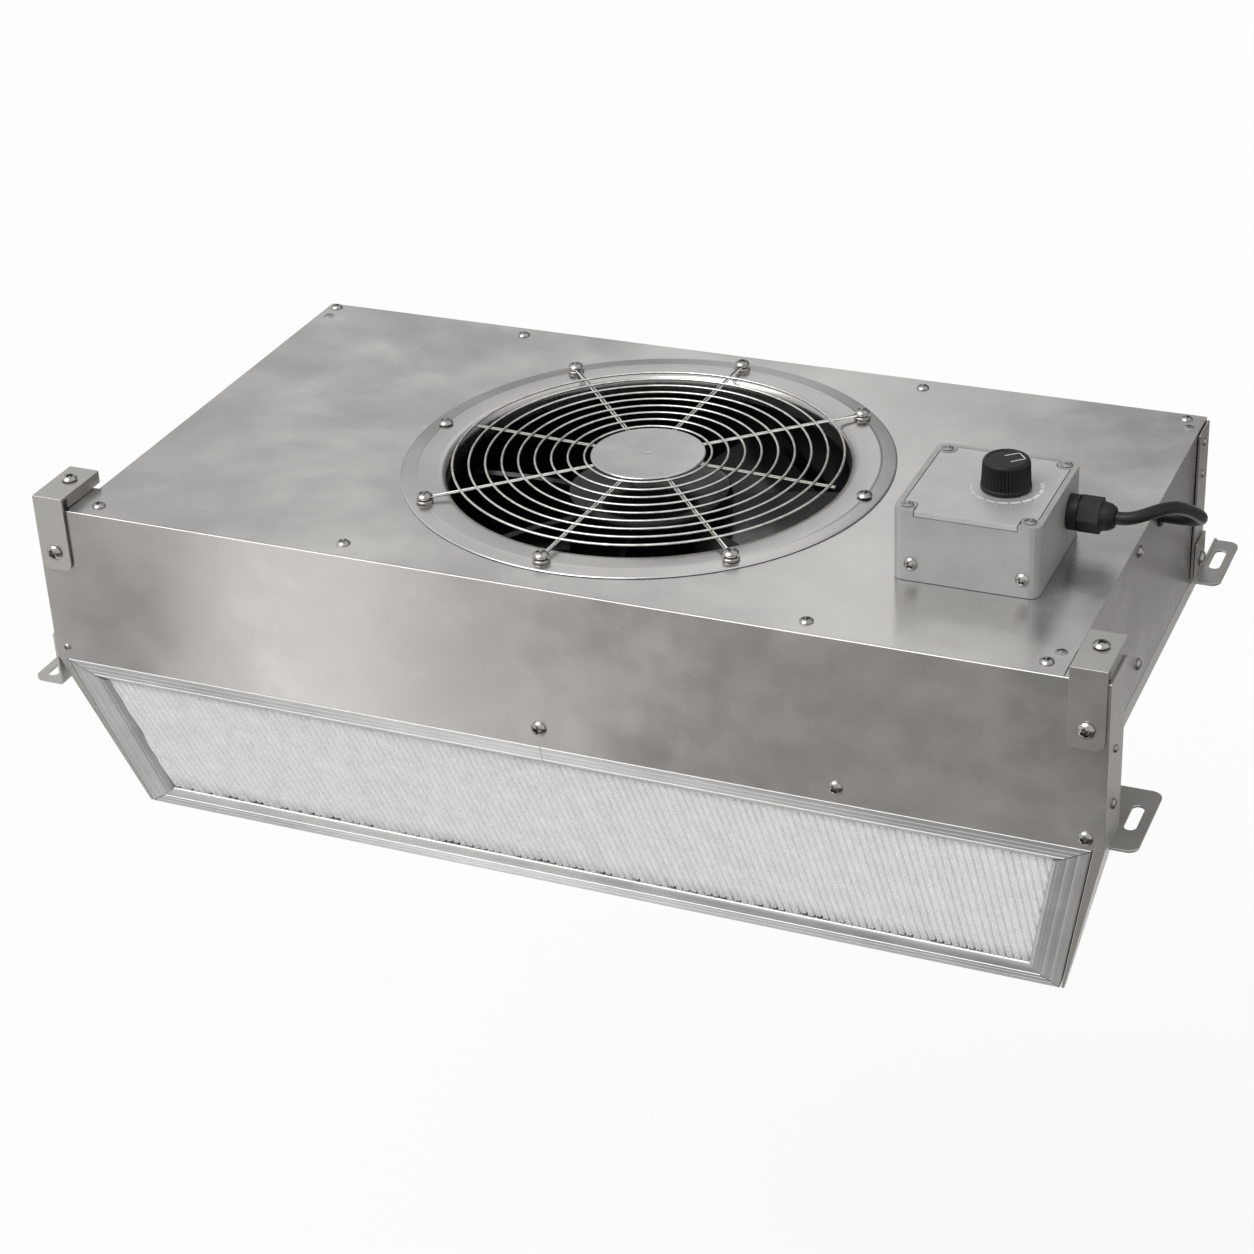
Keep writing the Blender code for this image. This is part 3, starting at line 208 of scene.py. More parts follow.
def brushed_steel(name, grain_axis, light=steel_light, dark=steel_dark, rough=0.25):
    """Stainless sheet brushed along one axis, with faint smears from handling and a few specks.

    The lines are coarser than the real brushing, which is too fine to show at this distance. The
    tangent lies across the grain, because brushed metal draws its reflections out that way."""
    material, tree, shader, place = new_material(name)
    fine_stretch, broad_stretch = [[s if i == grain_axis else 1 for i in range(3)] for s in (40, 25)]
    lines = noise(tree, place, 0.0016, detail=1, stretch=fine_stretch)
    broad = noise(tree, place, 0.006, detail=1, stretch=broad_stretch)
    smear = noise(tree, place, 0.085, detail=4, roughness=0.55)
    cloud = noise(tree, place, 0.022, detail=3, roughness=0.6)
    spots = add_node(tree, "ShaderNodeTexVoronoi", Vector=place, Scale=1 / speck_spacing)
    tone = work_out(tree, 'MULTIPLY_ADD', broad, 0.06, work_out(tree, 'MULTIPLY_ADD', lines, 0.05, smear))
    sheet = ramp(tree, span(tree, tone, 0.30, 0.85, 0.0, 1.0), [(0.0, dark), (1.0, light)])
    speck = span(tree, spots.outputs["Distance"], 0.010, 0.018, 0.55, 0.0)
    colour = add_node(tree, "ShaderNodeMix", {"data_type": 'RGBA'}, i0=speck, i6=sheet,
                      i7=to_linear(steel_speck))
    worn = work_out(tree, 'MULTIPLY_ADD', cloud, 0.5, smear)
    across = {"XYZ"[i]: 1.0 for i in range(3) if i != grain_axis}
    direction = add_node(tree, "ShaderNodeCombineXYZ", **across)
    connect(tree, shader, Base_Color=colour.outputs[2], Metallic=1.0, Anisotropic=0.85,
            Roughness=span(tree, worn, 0.5, 1.0, rough - 0.05, rough + 0.09),
            Tangent=direction.outputs["Vector"], Normal=bump(tree, smear, 0.1, 0.0005))
    return material


def plain(made, name):
    """Puts a plain mesh object, with the mesh as its modifiers leave it, in an object's place."""
    bpy.context.view_layer.update()
    graph = bpy.context.evaluated_depsgraph_get()
    mesh = bpy.data.meshes.new_from_object(made.evaluated_get(graph), preserve_all_data_layers=True,
                                           depsgraph=graph)
    mesh.transform(made.matrix_world)
    mesh.name = name
    bpy.data.objects.remove(made)
    return add_object(name, mesh)


def to_mesh(work, name, material):
    """Ends the work on a mesh, which gets a name and one material."""
    mesh = bpy.data.meshes.new(name)
    work.to_mesh(mesh)
    work.free()
    mesh.materials.append(material)
    return mesh


weld_gap = 0.000002


def eased(name, new_name, width, material, slot, segments=2, share=None):
    """A copy of a CAD node with its edges rounded by width, which stands for that node.

    share gives the part of the width that an edge gets, from its two ends."""
    work = bmesh.new()
    work.from_mesh(cad_nodes[name].data)
    bmesh.ops.remove_doubles(work, verts=work.verts, dist=weld_gap)
    flat_angle, edge_angle = math.radians(1), math.radians(35)
    bmesh.ops.dissolve_limit(work, angle_limit=flat_angle, verts=work.verts, edges=work.edges)
    weight = work.edges.layers.float.new("bevel_weight_edge")
    for edge in work.edges:
        if edge.calc_face_angle(0) > edge_angle:
            edge[weight] = share(edge.verts[0].co, edge.verts[1].co) if share else 1.0
    for face in work.faces:
        face.smooth = False
        face.material_index = 0
    made = add_object(new_name + "_work", to_mesh(work, new_name + "_work", material))
    edge = made.modifiers.new("eased", 'BEVEL')
    edge.width = width
    edge.segments = segments
    edge.limit_method = 'WEIGHT'
    edge.use_clamp_overlap = True
    return settle(plain(made, new_name), slot, name)


steel_across = brushed_steel("brushed stainless, grain across", 0)
steel_deep = brushed_steel("brushed stainless, grain front to back", 1)
front_y, top_z = -0.1535, 0.0965


def fold_share(a, b):
    """The fold along the top of the front is rolled wide, and its inner edge stays sharp."""
    if min(a.z, b.z) < top_z - 0.0001:
        return 0.3
    return 1.0 if max(a.y, b.y) < front_y + 0.0001 else 0.0


def seam_share(a, b):
    """The top sheet is rolled at its sides, and butts sharp-edged against the fold of the front."""
    if max(a.y, b.y) < front_y + 0.003:
        return 0.0
    long_side = abs(a.y - b.y) > 0.1 and abs(a.x) > 0.28
    return 1.0 if long_side and min(a.z, b.z) > top_z - 0.0001 else 0.4


eased("front_panel", "front_sheet", 0.0018, steel_across, "casing_steel", segments=5, share=fold_share)
top_sheet = eased("top_panel", "top_sheet", 0.0012, steel_across, "casing_steel", segments=3,
                  share=seam_share)
seam_taken_up = 0.0002
for corner in top_sheet.data.vertices:
    if corner.co.y < front_y + 0.003:
        corner.co.y -= seam_taken_up
cut_edge = 0.0004
for name, new_name, steel in (("side_panel_left", "left_sheet", steel_deep),
                              ("side_panel_right", "right_sheet", steel_deep),
                              ("back_panel", "back_sheet", steel_across),
                              ("base_pan", "base_sheet", steel_across),
                              ("plenum_box", "plenum_sheet", steel_across),
                              ("frame_end_cap_left", "end_wedge_left", steel_deep),
                              ("frame_end_cap_right", "end_wedge_right", steel_deep)):
    eased(name, new_name, cut_edge, steel, "casing_steel")

# Inlet ring
# The flange round the fan opening is a thin stainless disc, turned and polished. It has
# a low step near its rim, lies on the top sheet, and its throat goes down into the fan.


def even_metal(name, size, detail, dark, light, smooth, dull):
    """Metal without a grain, whose colour and shine vary together in patches of a size."""
    material, tree, shader, place = new_material(name)
    patches = noise(tree, place, size, detail=detail)
    connect(tree, shader, Base_Color=ramp(tree, patches, [(0.3, dark), (0.7, light)]), Metallic=1.0,
            Roughness=span(tree, patches, 0.3, 0.7, smooth, dull))
    return material


ring_steel = even_metal("turned stainless, grain round", 0.06, 4, "#B7B5B2", "#C4C2BF", 0.22, 0.32)


def shade_smooth(work, angle):
    """Shades all faces smooth, up to the edges that turn by more than an angle in degrees."""
    for edge in work.edges:
        edge.smooth = len(edge.link_faces) == 2 and edge.calc_face_angle(0) < math.radians(angle)
    for face in work.faces:
        face.smooth = True


def turned(name, outline, centre, material, slot, *stands_for, steps=96):
    """A turned piece: an outline of (radius, height) points drawn round the Z axis at centre.

    The outline begins and ends on the axis, or comes back to its first point."""
    work = bmesh.new()
    rings = []
    for r, z in outline:
        angles = [2 * math.pi * i / steps for i in range(steps if r else 1)]
        rings.append([work.verts.new((centre[0] + r * math.cos(a), centre[1] + r * math.sin(a), z))
                      for a in angles])
    for upper, lower in zip(rings, rings[1:]):
        for i in range(steps):
            j = (i + 1) % steps
            if len(upper) == 1:
                work.faces.new((upper[0], lower[i], lower[j]))
            elif len(lower) == 1:
                work.faces.new((upper[i], lower[0], upper[j]))
            else:
                work.faces.new((upper[i], lower[i], lower[j], upper[j]))
    bmesh.ops.remove_doubles(work, verts=work.verts, dist=weld_gap)
    bmesh.ops.recalc_face_normals(work, faces=work.faces)
    shade_smooth(work, 40)
    return settle(add_object(name, to_mesh(work, name, material)), slot, *stands_for)


fan_y = 0.0035
ring_outline = [(0.1129, 0.0858), (0.1129, 0.0923), (0.1132, 0.0940), (0.1138, 0.0954), (0.1148, 0.0965),
                (0.1160, 0.0971), (0.1176, 0.0974), (0.1184, 0.0975), (0.1292, 0.0980), (0.1300, 0.0980),
                (0.1306, 0.0978), (0.1312, 0.0977), (0.1380, 0.0975), (0.1385, 0.0974), (0.1388, 0.0972),
                (0.1390, 0.0969), (0.1300, 0.0968), (0.1176, 0.0968), (0.1162, 0.0962), (0.1152, 0.0950),
                (0.1144, 0.0923), (0.1144, 0.0858), (0.1129, 0.0858)]
turned("inlet_flange", ring_outline, (0.0, fan_y), ring_steel, "casing_steel", "inlet_ring", steps=128)

# Fan
# Seven pitched blades of glossy black plastic turn with the motor's outer case inside
# a black housing. The motor's stator stays still below them.


def smoothed(name, new_name, material, slot, body="casing"):
    """A copy of a CAD node, joined up and shaded smooth, which stands for it."""
    work = bmesh.new()
    work.from_mesh(cad_nodes[name].data)
    bmesh.ops.remove_doubles(work, verts=work.verts, dist=weld_gap)
    shade_smooth(work, 35)
    for face in work.faces:
        face.material_index = 0
    settle(add_object(new_name, to_mesh(work, new_name, material)), slot, name, body=body)


material, tree, shader, place = new_material("gloss black moulded plastic")
ripple = noise(tree, place, 0.030, detail=2)
connect(tree, shader, Base_Color=to_linear("#080809"), Specular_IOR_Level=0.35,
        Roughness=span(tree, ripple, 0.3, 0.7, 0.16, 0.28), Normal=bump(tree, ripple, 0.10, 0.001))
gloss_black = material
smoothed("impeller", "fan_blades", gloss_black, "black_gloss", body="impeller")
smoothed("fan_housing", "fan_shroud", gloss_black, "black_gloss")

# Finger guard
# Plated steel wire: nine rings and a disc are spot welded on eight double spokes. Six
# of the spokes run on past the last ring, and end in an eye under a fixing screw.
ring_level, spoke_level = 0.1011, 0.1002
ring_wire, spoke_wire = 0.0007, 0.0006
first_ring, ring_pitch, ring_count = 0.0358, 0.00925, 9
screw_circle, spoke_count, guard_turn = 0.1300, 8, math.radians(-3.0)


def node_group(name, **inputs):
    """A geometry node group with one geometry in and out and named inputs of given defaults."""
    group = bpy.data.node_groups.new(name, 'GeometryNodeTree')
    group.interface.new_socket("Geometry", in_out='INPUT', socket_type='NodeSocketGeometry')
    kinds = {float: 'NodeSocketFloat', int: 'NodeSocketInt'}
    for key, value in inputs.items():
        socket = group.interface.new_socket(key.replace("_", " "), in_out='INPUT',
                                            socket_type=kinds[type(value)])
        socket.default_value = value
    group.interface.new_socket("Geometry", in_out='OUTPUT', socket_type='NodeSocketGeometry')
    return group, group.nodes.new('NodeGroupInput'), group.nodes.new('NodeGroupOutput')


def run_group(group, name, base=None, **values):
    """Runs a node group on a mesh and returns the result as a plain mesh object."""
    made = add_object(name + "_work", base or bpy.data.meshes.new(name + "_work"))
    modifier = made.modifiers.new(name, 'NODES')
    modifier.node_group = group
    for item in group.interface.items_tree:
        key = item.name.replace(" ", "_")
        if item.in_out == 'INPUT' and key in values:
            modifier[item.identifier] = values[key]
    return plain(made, name)


def send_out(group, outside, geometry, material):
    """Paints a group's geometry with one material, and makes it the group's result."""
    painted = add_node(group, 'GeometryNodeSetMaterial', Geometry=geometry, Material=material)
    connect(group, outside, i0=painted.outputs[0])


def wires_round_fan(group, inside, outside, count, line, capped, **placing):
    """Copies of a line at the fan's axis, each drawn as a round wire, are the group's result."""
    points = add_node(group, 'GeometryNodePoints', Count=inside.outputs[count])
    centre = add_node(group, 'ShaderNodeCombineXYZ', Y=inside.outputs["Fan Y"], Z=inside.outputs["Level"])
    placed = add_node(group, 'GeometryNodeSetPosition', Geometry=points.outputs[0],
                      Position=centre.outputs[0])
    copies = add_node(group, 'GeometryNodeInstanceOnPoints', Points=placed.outputs[0],
                      Instance=line, **placing)
    real = add_node(group, 'GeometryNodeRealizeInstances', Geometry=copies.outputs[0])
    section = add_node(group, 'GeometryNodeCurvePrimitiveCircle', Resolution=10,
                       Radius=inside.outputs["Wire Radius"])
    tube = add_node(group, 'GeometryNodeCurveToMesh', Curve=real.outputs[0],
                    Profile_Curve=section.outputs[0], Fill_Caps=capped)
    send_out(group, outside, tube.outputs[0], wire_steel)


wire_steel = even_metal("bright plated wire", 0.004, 3, "#BDBBB7", "#DCDAD6", 0.26, 0.38)
# The two short spokes are the same wire as the rest of the guard. Their copy of its material is rougher,
# and its darker colour is painted shade that tones down the lamp's highlight along them.
wire_painted_darker = even_metal("plated wire, duller", 0.004, 3, "#7E7C79", "#96948F", 0.36, 0.48)

group, inside, outside = node_group("guard rings", First_Radius=first_ring, Pitch=ring_pitch,
                                    Rings=ring_count, Wire_Radius=ring_wire, Level=ring_level, Fan_Y=fan_y)
index = add_node(group, 'GeometryNodeInputIndex')
radius = work_out(group, 'MULTIPLY_ADD', index.outputs[0], inside.outputs["Pitch"],
                  inside.outputs["First Radius"])
circle = add_node(group, 'GeometryNodeCurvePrimitiveCircle', Resolution=160, Radius=1.0)
wires_round_fan(group, inside, outside, "Rings", circle.outputs[0], False, Scale=radius)
settle(run_group(group, "guard_rings"), "bright_steel", "finger_guard")

spoke_half_gap, disc_edge, loose_end = 0.0008, 0.0300, 0.1128
eye_radius, eye_start, eye_steps = 0.0027, math.radians(18), 12
spoke_path = [(disc_edge, spoke_half_gap, 0.0)]
for i in range(eye_steps + 1):
    a = math.pi - eye_start - (2 * math.pi - 2 * eye_start) * i / eye_steps
    spoke_path.append((screw_circle + eye_radius * math.cos(a), eye_radius * math.sin(a), 0.0))
spoke_path += [(disc_edge, -spoke_half_gap, 0.0)]
long_spoke = bpy.data.meshes.new("long_spoke")
long_spoke.from_pydata(spoke_path, [(i, i + 1) for i in range(len(spoke_path) - 1)], [])
short_spoke = bpy.data.meshes.new("short_spoke")
short_spoke.from_pydata([(r, gap, 0) for gap in (spoke_half_gap, -spoke_half_gap)
                         for r in (disc_edge, loose_end)], [(0, 1), (2, 3)], [])

group, inside, outside = node_group("guard spokes", Spokes=6, In_A_Row=3.0, Turn=guard_turn,
                                    Step=2 * math.pi / spoke_count, Skip=1.0, Wire_Radius=spoke_wire,
                                    Level=spoke_level, Fan_Y=fan_y)
index = add_node(group, 'GeometryNodeInputIndex')
row = work_out(group, 'FLOOR', work_out(group, 'DIVIDE', index.outputs[0], inside.outputs["In A Row"]))
row = work_out(group, 'ADD', row, inside.outputs["Skip"])
place_no = work_out(group, 'ADD', row, index.outputs[0])
angle = work_out(group, 'MULTIPLY_ADD', place_no, inside.outputs["Step"], inside.outputs["Turn"])
turned_by = add_node(group, 'ShaderNodeCombineXYZ', Z=angle)
line = add_node(group, 'GeometryNodeMeshToCurve', Mesh=inside.outputs[0])
wires_round_fan(group, inside, outside, "Spokes", line.outputs[0], True, Rotation=turned_by.outputs[0])
for name, path, values in (("guard_long_spokes", long_spoke, {}),
                           ("guard_short_spokes", short_spoke,
                            {"Spokes": 2, "In_A_Row": 100.0, "Skip": 0.0, "Step": math.pi})):
    spokes = run_group(group, name, path, **values)
    # The short spokes take the wire's copy whose darker colour is painted shade.
    if name == "guard_short_spokes":
        spokes.data.materials[0] = wire_painted_darker
    settle(spokes, "bright_steel", "finger_guard")

disc_radius, disc_low, disc_top, dimple = 0.0325, 0.1007, 0.1018, 0.0016
disc_outline = [(0.0, disc_top - 0.0004), (dimple * 0.6, disc_top - 0.0003), (dimple, disc_top),
                (dimple * 1.3, disc_top), (disc_radius - 0.0012, disc_top),
                (disc_radius - 0.0006, disc_top), (disc_radius - 0.0002, disc_top - 0.0002),
                (disc_radius, disc_top - 0.0006), (disc_radius - 0.0002, disc_low), (0.0, disc_low)]
turned("guard_disc", disc_outline, (0.0, fan_y), steel_across, "bright_steel", "finger_guard")

# Screws
# Bright pan head screws with a cross recess hold the guard, the brackets, the lid and
# the sheets of the casing. The six long spokes of the guard sit on turned spacers.
screw_steel = even_metal("bright plated screw", 0.003, 2, "#8E8C89", "#ACAAA6", 0.14, 0.26)
head_height = 0.56
head_outline = [(0.0, head_height), (0.30, head_height - 0.010), (0.58, head_height - 0.075),
                (0.80, head_height - 0.185), (0.94, head_height - 0.33), (1.0, 0.15), (0.97, 0.0),
                (0.0, 0.0)]
head = turned("head_blank", head_outline, (0.0, 0.0), screw_steel, "bright_steel", steps=28)
arms = []
for turn in (0.0, math.pi / 2):
    arm = bmesh.new()
    bmesh.ops.create_cube(arm, size=1.0)
    for corner in arm.verts:
        deep = corner.co.z < 0
        corner.co.x *= 0.80 if deep else 1.30
        corner.co.y *= 0.30 if deep else 0.46
        corner.co.z = 0.10 if deep else 0.75
    bmesh.ops.rotate(arm, verts=arm.verts, matrix=Matrix.Rotation(turn, 3, 'Z'))
    arms.append(add_object("recess_arm", to_mesh(arm, "recess_arm", screw_steel)))
    recess = head.modifiers.new("recess", 'BOOLEAN')
    recess.operation = 'DIFFERENCE'
    recess.solver = 'EXACT'
    recess.object = arms[-1]
head_piece = plain(head, "pan_head")
for arm in arms:
    bpy.data.objects.remove(arm)

group, inside, outside = node_group("pan head screws", Seed=4)
axis = add_node(group, 'GeometryNodeInputNamedAttribute', {"data_type": 'FLOAT_VECTOR'}, Name="axis")
size = add_node(group, 'GeometryNodeInputNamedAttribute', {"data_type": 'FLOAT_VECTOR'}, Name="size")
facing = add_node(group, 'FunctionNodeAlignRotationToVector', {"axis": 'Z'}, Vector=axis.outputs[0])
spin = add_node(group, 'FunctionNodeRandomValue', {"data_type": 'FLOAT'}, Seed=inside.outputs["Seed"])
spin.inputs[3].default_value = math.pi
spin_axis = add_node(group, 'ShaderNodeCombineXYZ', Z=spin.outputs[1])
spun = add_node(group, 'FunctionNodeRotateRotation', {"rotation_space": 'LOCAL'}, i0=facing.outputs[0],
                i1=spin_axis.outputs[0])
shape = add_node(group, 'GeometryNodeObjectInfo', Object=head_piece)
copies = add_node(group, 'GeometryNodeInstanceOnPoints', Points=inside.outputs[0],
                  Instance=shape.outputs["Geometry"], Rotation=spun.outputs[0], Scale=size.outputs[0])
real = add_node(group, 'GeometryNodeRealizeInstances', Geometry=copies.outputs[0])
send_out(group, outside, real.outputs[0], screw_steel)


def screws(name, places, stands_for=(), flatness=1.0):
    """Screw heads at (place, axis, radius), as one piece that stands for the named CAD nodes."""
    mesh = bpy.data.meshes.new(name + "_points")
    mesh.from_pydata([at for at, axis, radius in places], [], [])
    axes = [part for at, axis, radius in places for part in axis]
    sizes = [radius * part for at, axis, radius in places for part in (1.0, 1.0, flatness)]
    for key, values in (("axis", axes), ("size", sizes)):
        mesh.attributes.new(key, 'FLOAT_VECTOR', 'POINT').data.foreach_set("vector", values)
    settle(run_group(group, name, mesh), "bright_steel", *stands_for)


up, ahead, rightward, leftward = (0, 0, 1), (0, -1, 0), (1, 0, 0), (-1, 0, 0)
lid_screws = {"box_screw_%d" % k: up for k in range(1, 5)}
cad_screws = {"guard_screw_%d" % k: up for k in range(1, 9)}
for side, outward in (("left", leftward), ("right", rightward)):
    cad_screws.update({"clip_top_screw_" + side: up, "clip_leg_screw_" + side: ahead,
                       "front_bracket_%s_screw" % side: outward, "rear_bracket_%s_screw" % side: outward})
for piece_name, group_of_screws, flatness in (("fixing_screws", cad_screws, 1.0),
                                              ("lid_screws", lid_screws, 0.45)):
    places = []
    for name, outward in group_of_screws.items():
        low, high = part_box(name)
        line = [i for i in range(3) if outward[i]][0]
        radius = (high[line - 1] - low[line - 1]) / 2
        at = (low + high) / 2
        tip = high[line] if outward[line] > 0 else low[line]
        at[line] = tip - outward[line] * head_height * radius
        places.append((tuple(at), outward, radius))
    screws(piece_name, places, group_of_screws, flatness)

side_x, strip_x, post_x, box_front = 0.281, 0.2828, 0.305, -0.0845
top_places = [(-0.1416, 0.2970), (0.1162, 0.2962), (-0.2751, 0.3017), (0.2707, 0.3003),
              (-0.1176, 0.0142), (0.1459, 0.0125), (0.2700, 0.0115), (-0.2693, 0.0114)]
places = [((x, front_y + y, top_z), up, 0.0037) for x, y in top_places]
places += [((x, front_y, z), ahead, r) for x, z, r in (
    (-0.0016, 0.0114, 0.0044), (0.1648, 0.0090, 0.0040), (0.2953, 0.0065, 0.0040),
    (-0.2974, 0.0074, 0.0022))]
places += [((side_x, front_y + y, z), rightward, 0.0036) for y, z in ((0.152, 0.088), (0.162, 0.014))]
places += [((strip_x, front_y + 0.296, z), rightward, 0.0026) for z in (0.086, 0.066)]
places += [((post_x, front_y + 0.015, z), rightward, r) for z, r in ((0.020, 0.0030), (0.052, 0.0022))]
places += [((x, box_front, z), ahead, 0.0036) for x, z in ((0.1821, 0.1064), (0.2408, 0.1071))]
screws("casing_screws", places)

spacer_top, spacer_low, spacer_radius = 0.0995, 0.0980, 0.0048
spacer_edge = 0.0003
spacer_outline = [(0.0, spacer_top), (spacer_radius - spacer_edge, spacer_top),
                  (spacer_radius, spacer_top - spacer_edge), (spacer_radius, spacer_low), (0.0, spacer_low)]
for k in (1, 2, 3, 5, 6, 7):
    a = guard_turn + 2 * math.pi * k / spoke_count
    spacer_place = (screw_circle * math.cos(a), fan_y + screw_circle * math.sin(a))
    turned("guard_spacer_%d" % k, spacer_outline, spacer_place, screw_steel, "bright_steel", steps=32)
bpy.data.objects.remove(head_piece)

# Rivets
# Three flat plated rivets hold the corners of the top sheet, beside its screws. Their
# heads were pressed flat on the sheet.
rivet_outline = [(0.0, 0.0007), (0.0022, 0.0007), (0.0030, 0.0004), (0.0032, 0.0), (0.0, 0.0)]
rivet_outline = [(r, top_z + z) for r, z in rivet_outline]
for k, (x, y) in enumerate(((-0.2735, 0.2882), (0.2742, 0.2900), (0.2742, 0.0228))):
    turned("corner_rivet_%d" % (k + 1), rivet_outline, (x, front_y + y), screw_steel, "bright_steel",
           steps=24)

# Brackets
# Caps with a leg close the top corners at the front, and slotted feet stand out beside.
# All are the casing's sheet, cut, bent on a press and tumbled, so their edges are soft.
bracket_steel = brushed_steel("tumbled stainless bracket", 1, light="#CFCDC9", dark="#BDBBB7", rough=0.30)


def cap_share(a, b):
    """The two back corners of a cap are cut round, and its other edges are only eased."""
    upright = abs(a.x - b.x) + abs(a.y - b.y) < 0.00001
    return 1.0 if upright and a.y > front_y + 0.030 else 0.2


for side in ("left", "right"):
    eased("hanging_bracket_" + side, "hanging_bracket_plate_" + side, 0.0030, bracket_steel,
          "casing_steel", segments=4, share=cap_share)
    for name in ("front_bracket_", "rear_bracket_"):
        eased(name + side, name + "plate_" + side, 0.0005, bracket_steel, "casing_steel")

# Filter frame
# Four extruded aluminium bars with mitred corners hold the filter. The top bar is in
# two lengths that meet near the middle. Each bar has a flat face with fine grooves, and
# a lip that slopes in to the filter, and keeps the drawn lines of the extrusion.
frame_back, frame_drop, frame_top = 0.0320, 0.1117, -0.0003
frame_lean, frame_slope = math.atan2(frame_back, frame_drop), math.hypot(frame_back, frame_drop)
frame_half, frame_taper, mitre_gap, seam_x = 0.2990, 0.0215, 0.00012, -0.0020
top_bar, side_bar, low_bar, bar_thick, bar_groove = 0.0150, 0.0190, 0.0130, 0.0180, 0.00015
bar_face = [(0.00, bar_thick), (0.00, 0.0012), (0.012, 0.0005), (0.035, 0.0001), (0.065, 0.0),
            (0.23, 0.0), (0.24, bar_groove), (0.255, bar_groove), (0.265, 0.0),
            (0.43, 0.0), (0.44, bar_groove), (0.455, bar_groove), (0.465, 0.0),
            (0.60, 0.0), (0.615, 0.0004), (0.645, 0.0004)]
bar_end = [(1.00, 0.0032), (1.00, bar_thick)]
bar_section = bar_face + [(0.66, 0.0001), (0.70, 0.0002), (0.955, 0.0022), (0.985, 0.0026)] + bar_end
side_section = [(u * 1.32, inward) for u, inward in bar_face] + [
    (0.885, 0.0002), (0.900, 0.0004), (0.975, 0.0022), (0.990, 0.0026)] + bar_end


def on_slope(x, down, inward):
    """A point of the leaning frame: x across, down along its slope, inward from its face."""
    return Vector((x, front_y + inward * math.cos(frame_lean) + down * math.sin(frame_lean),
                   frame_top + inward * math.sin(frame_lean) - down * math.cos(frame_lean)))


def frame_edge(down, inset=0.0):
    """Half the width of the frame at a place down its slope."""
    return frame_half - frame_taper * down / frame_slope - inset


material, tree, shader, place = new_material("drawn aluminium, lines along the bar")
strip = add_node(tree, "ShaderNodeUVMap", {"uv_map": "along_and_across"}).outputs["UV"]
lines = noise(tree, strip, 0.0008, detail=3, stretch=(300, 1, 1))
smear = noise(tree, strip, 0.04, detail=3)
tone = work_out(tree, 'MULTIPLY_ADD', lines, 0.7, smear)
drawn = ramp(tree, span(tree, tone, 0.5, 1.15, 0.0, 1.0), [(0.0, "#B2B2B1"), (1.0, "#D3D3D2")])
connect(tree, shader, Base_Color=drawn, Metallic=1.0, Roughness=span(tree, tone, 0.5, 1.15, 0.36, 0.48),
        Normal=bump(tree, lines, 0.3, 0.00012))
drawn_aluminium = material


def frame_bar(name, start, end, stands_for, section=bar_section):
    """A bar between two ends, each given as its (x, down) at the outer and at the inner edge."""
    work = bmesh.new()
    chart = work.loops.layers.uv.new("along_and_across")
    rows = []
    for outer, inner in (start, end):
        rows.append([work.verts.new(on_slope(outer[0] + (inner[0] - outer[0]) * u,
                                             outer[1] + (inner[1] - outer[1]) * u, inward))
                     for u, inward in section])
    count = len(section)
    across = [0.0]
    for (u0, n0), (u1, n1) in zip(section, section[1:] + section[:1]):
        across.append(across[-1] + math.hypot((u1 - u0) * side_bar, n1 - n0))
    length = (rows[1][0].co - rows[0][0].co).length
    for i in range(count):
        j = (i + 1) % count
        face = work.faces.new((rows[0][i], rows[0][j], rows[1][j], rows[1][i]))
        spots = (0, across[i]), (0, across[i + 1]), (length, across[i + 1]), (length, across[i])
        for loop, spot in zip(face.loops, spots):
            loop[chart].uv = spot
    work.faces.new(rows[0])
    work.faces.new(rows[1])
    bmesh.ops.recalc_face_normals(work, faces=work.faces)
    for edge in work.edges:
        edge.smooth = edge.calc_face_angle(0) < math.radians(34)
    for face in work.faces:
        face.smooth = len(face.verts) == 4
    settle(add_object(name, to_mesh(work, name, drawn_aluminium)), "aluminium", stands_for)


low_inner = frame_slope - low_bar
for side, tag in ((-1, "left"), (1, "right")):
    seam = seam_x + side * mitre_gap
    frame_bar("frame_bar_top_" + tag, ((side * (frame_edge(0) - mitre_gap), 0.0),
                                       (side * (frame_edge(top_bar, side_bar) - mitre_gap), top_bar)),
              ((seam, 0.0), (seam, top_bar)), "filter_frame_top_" + tag)
    frame_bar("frame_bar_" + tag, ((side * frame_edge(0), 0.0004),
                                   (side * frame_edge(top_bar, side_bar), top_bar + 0.0004)),
              ((side * frame_edge(frame_slope), frame_slope - 0.0004),
               (side * frame_edge(low_inner, side_bar), low_inner - 0.0004)), "filter_frame_" + tag,
              side_section)
frame_bar("frame_bar_bottom", ((-frame_edge(frame_slope) + mitre_gap, frame_slope),
                               (-frame_edge(low_inner, side_bar) + mitre_gap, low_inner)),
          ((frame_edge(frame_slope) - mitre_gap, frame_slope),
           (frame_edge(low_inner, side_bar) - mitre_gap, low_inner)), "filter_frame_bottom")

# Filter
# White glass fibre paper in close folds, glued into the frame. The folds lean a little
# to the right on their way down, and their lower ends are ragged along the bottom bar.
fold_pitch, fold_depth, paper_front, paper_thick = 0.0044, 0.0019, 0.0028, 0.0004
fold_steps, fold_rows = 16, 9
material, tree, shader, place = new_material("white glass fibre paper")
fibre = noise(tree, place, 0.0010, detail=4, roughness=0.7)
mottle = noise(tree, place, 0.010, detail=3)
tone = work_out(tree, 'MULTIPLY_ADD', mottle, 0.25, fibre)
paper_white = ramp(tree, span(tree, tone, 0.5, 0.7, 0.0, 1.0), [(0.0, "#EAEAE8"), (1.0, "#FFFFFE")])
connect(tree, shader, Base_Color=paper_white, Roughness=0.95, Specular_IOR_Level=0.15,
        Normal=bump(tree, fibre, 0.9, 0.0007))
filter_paper = material

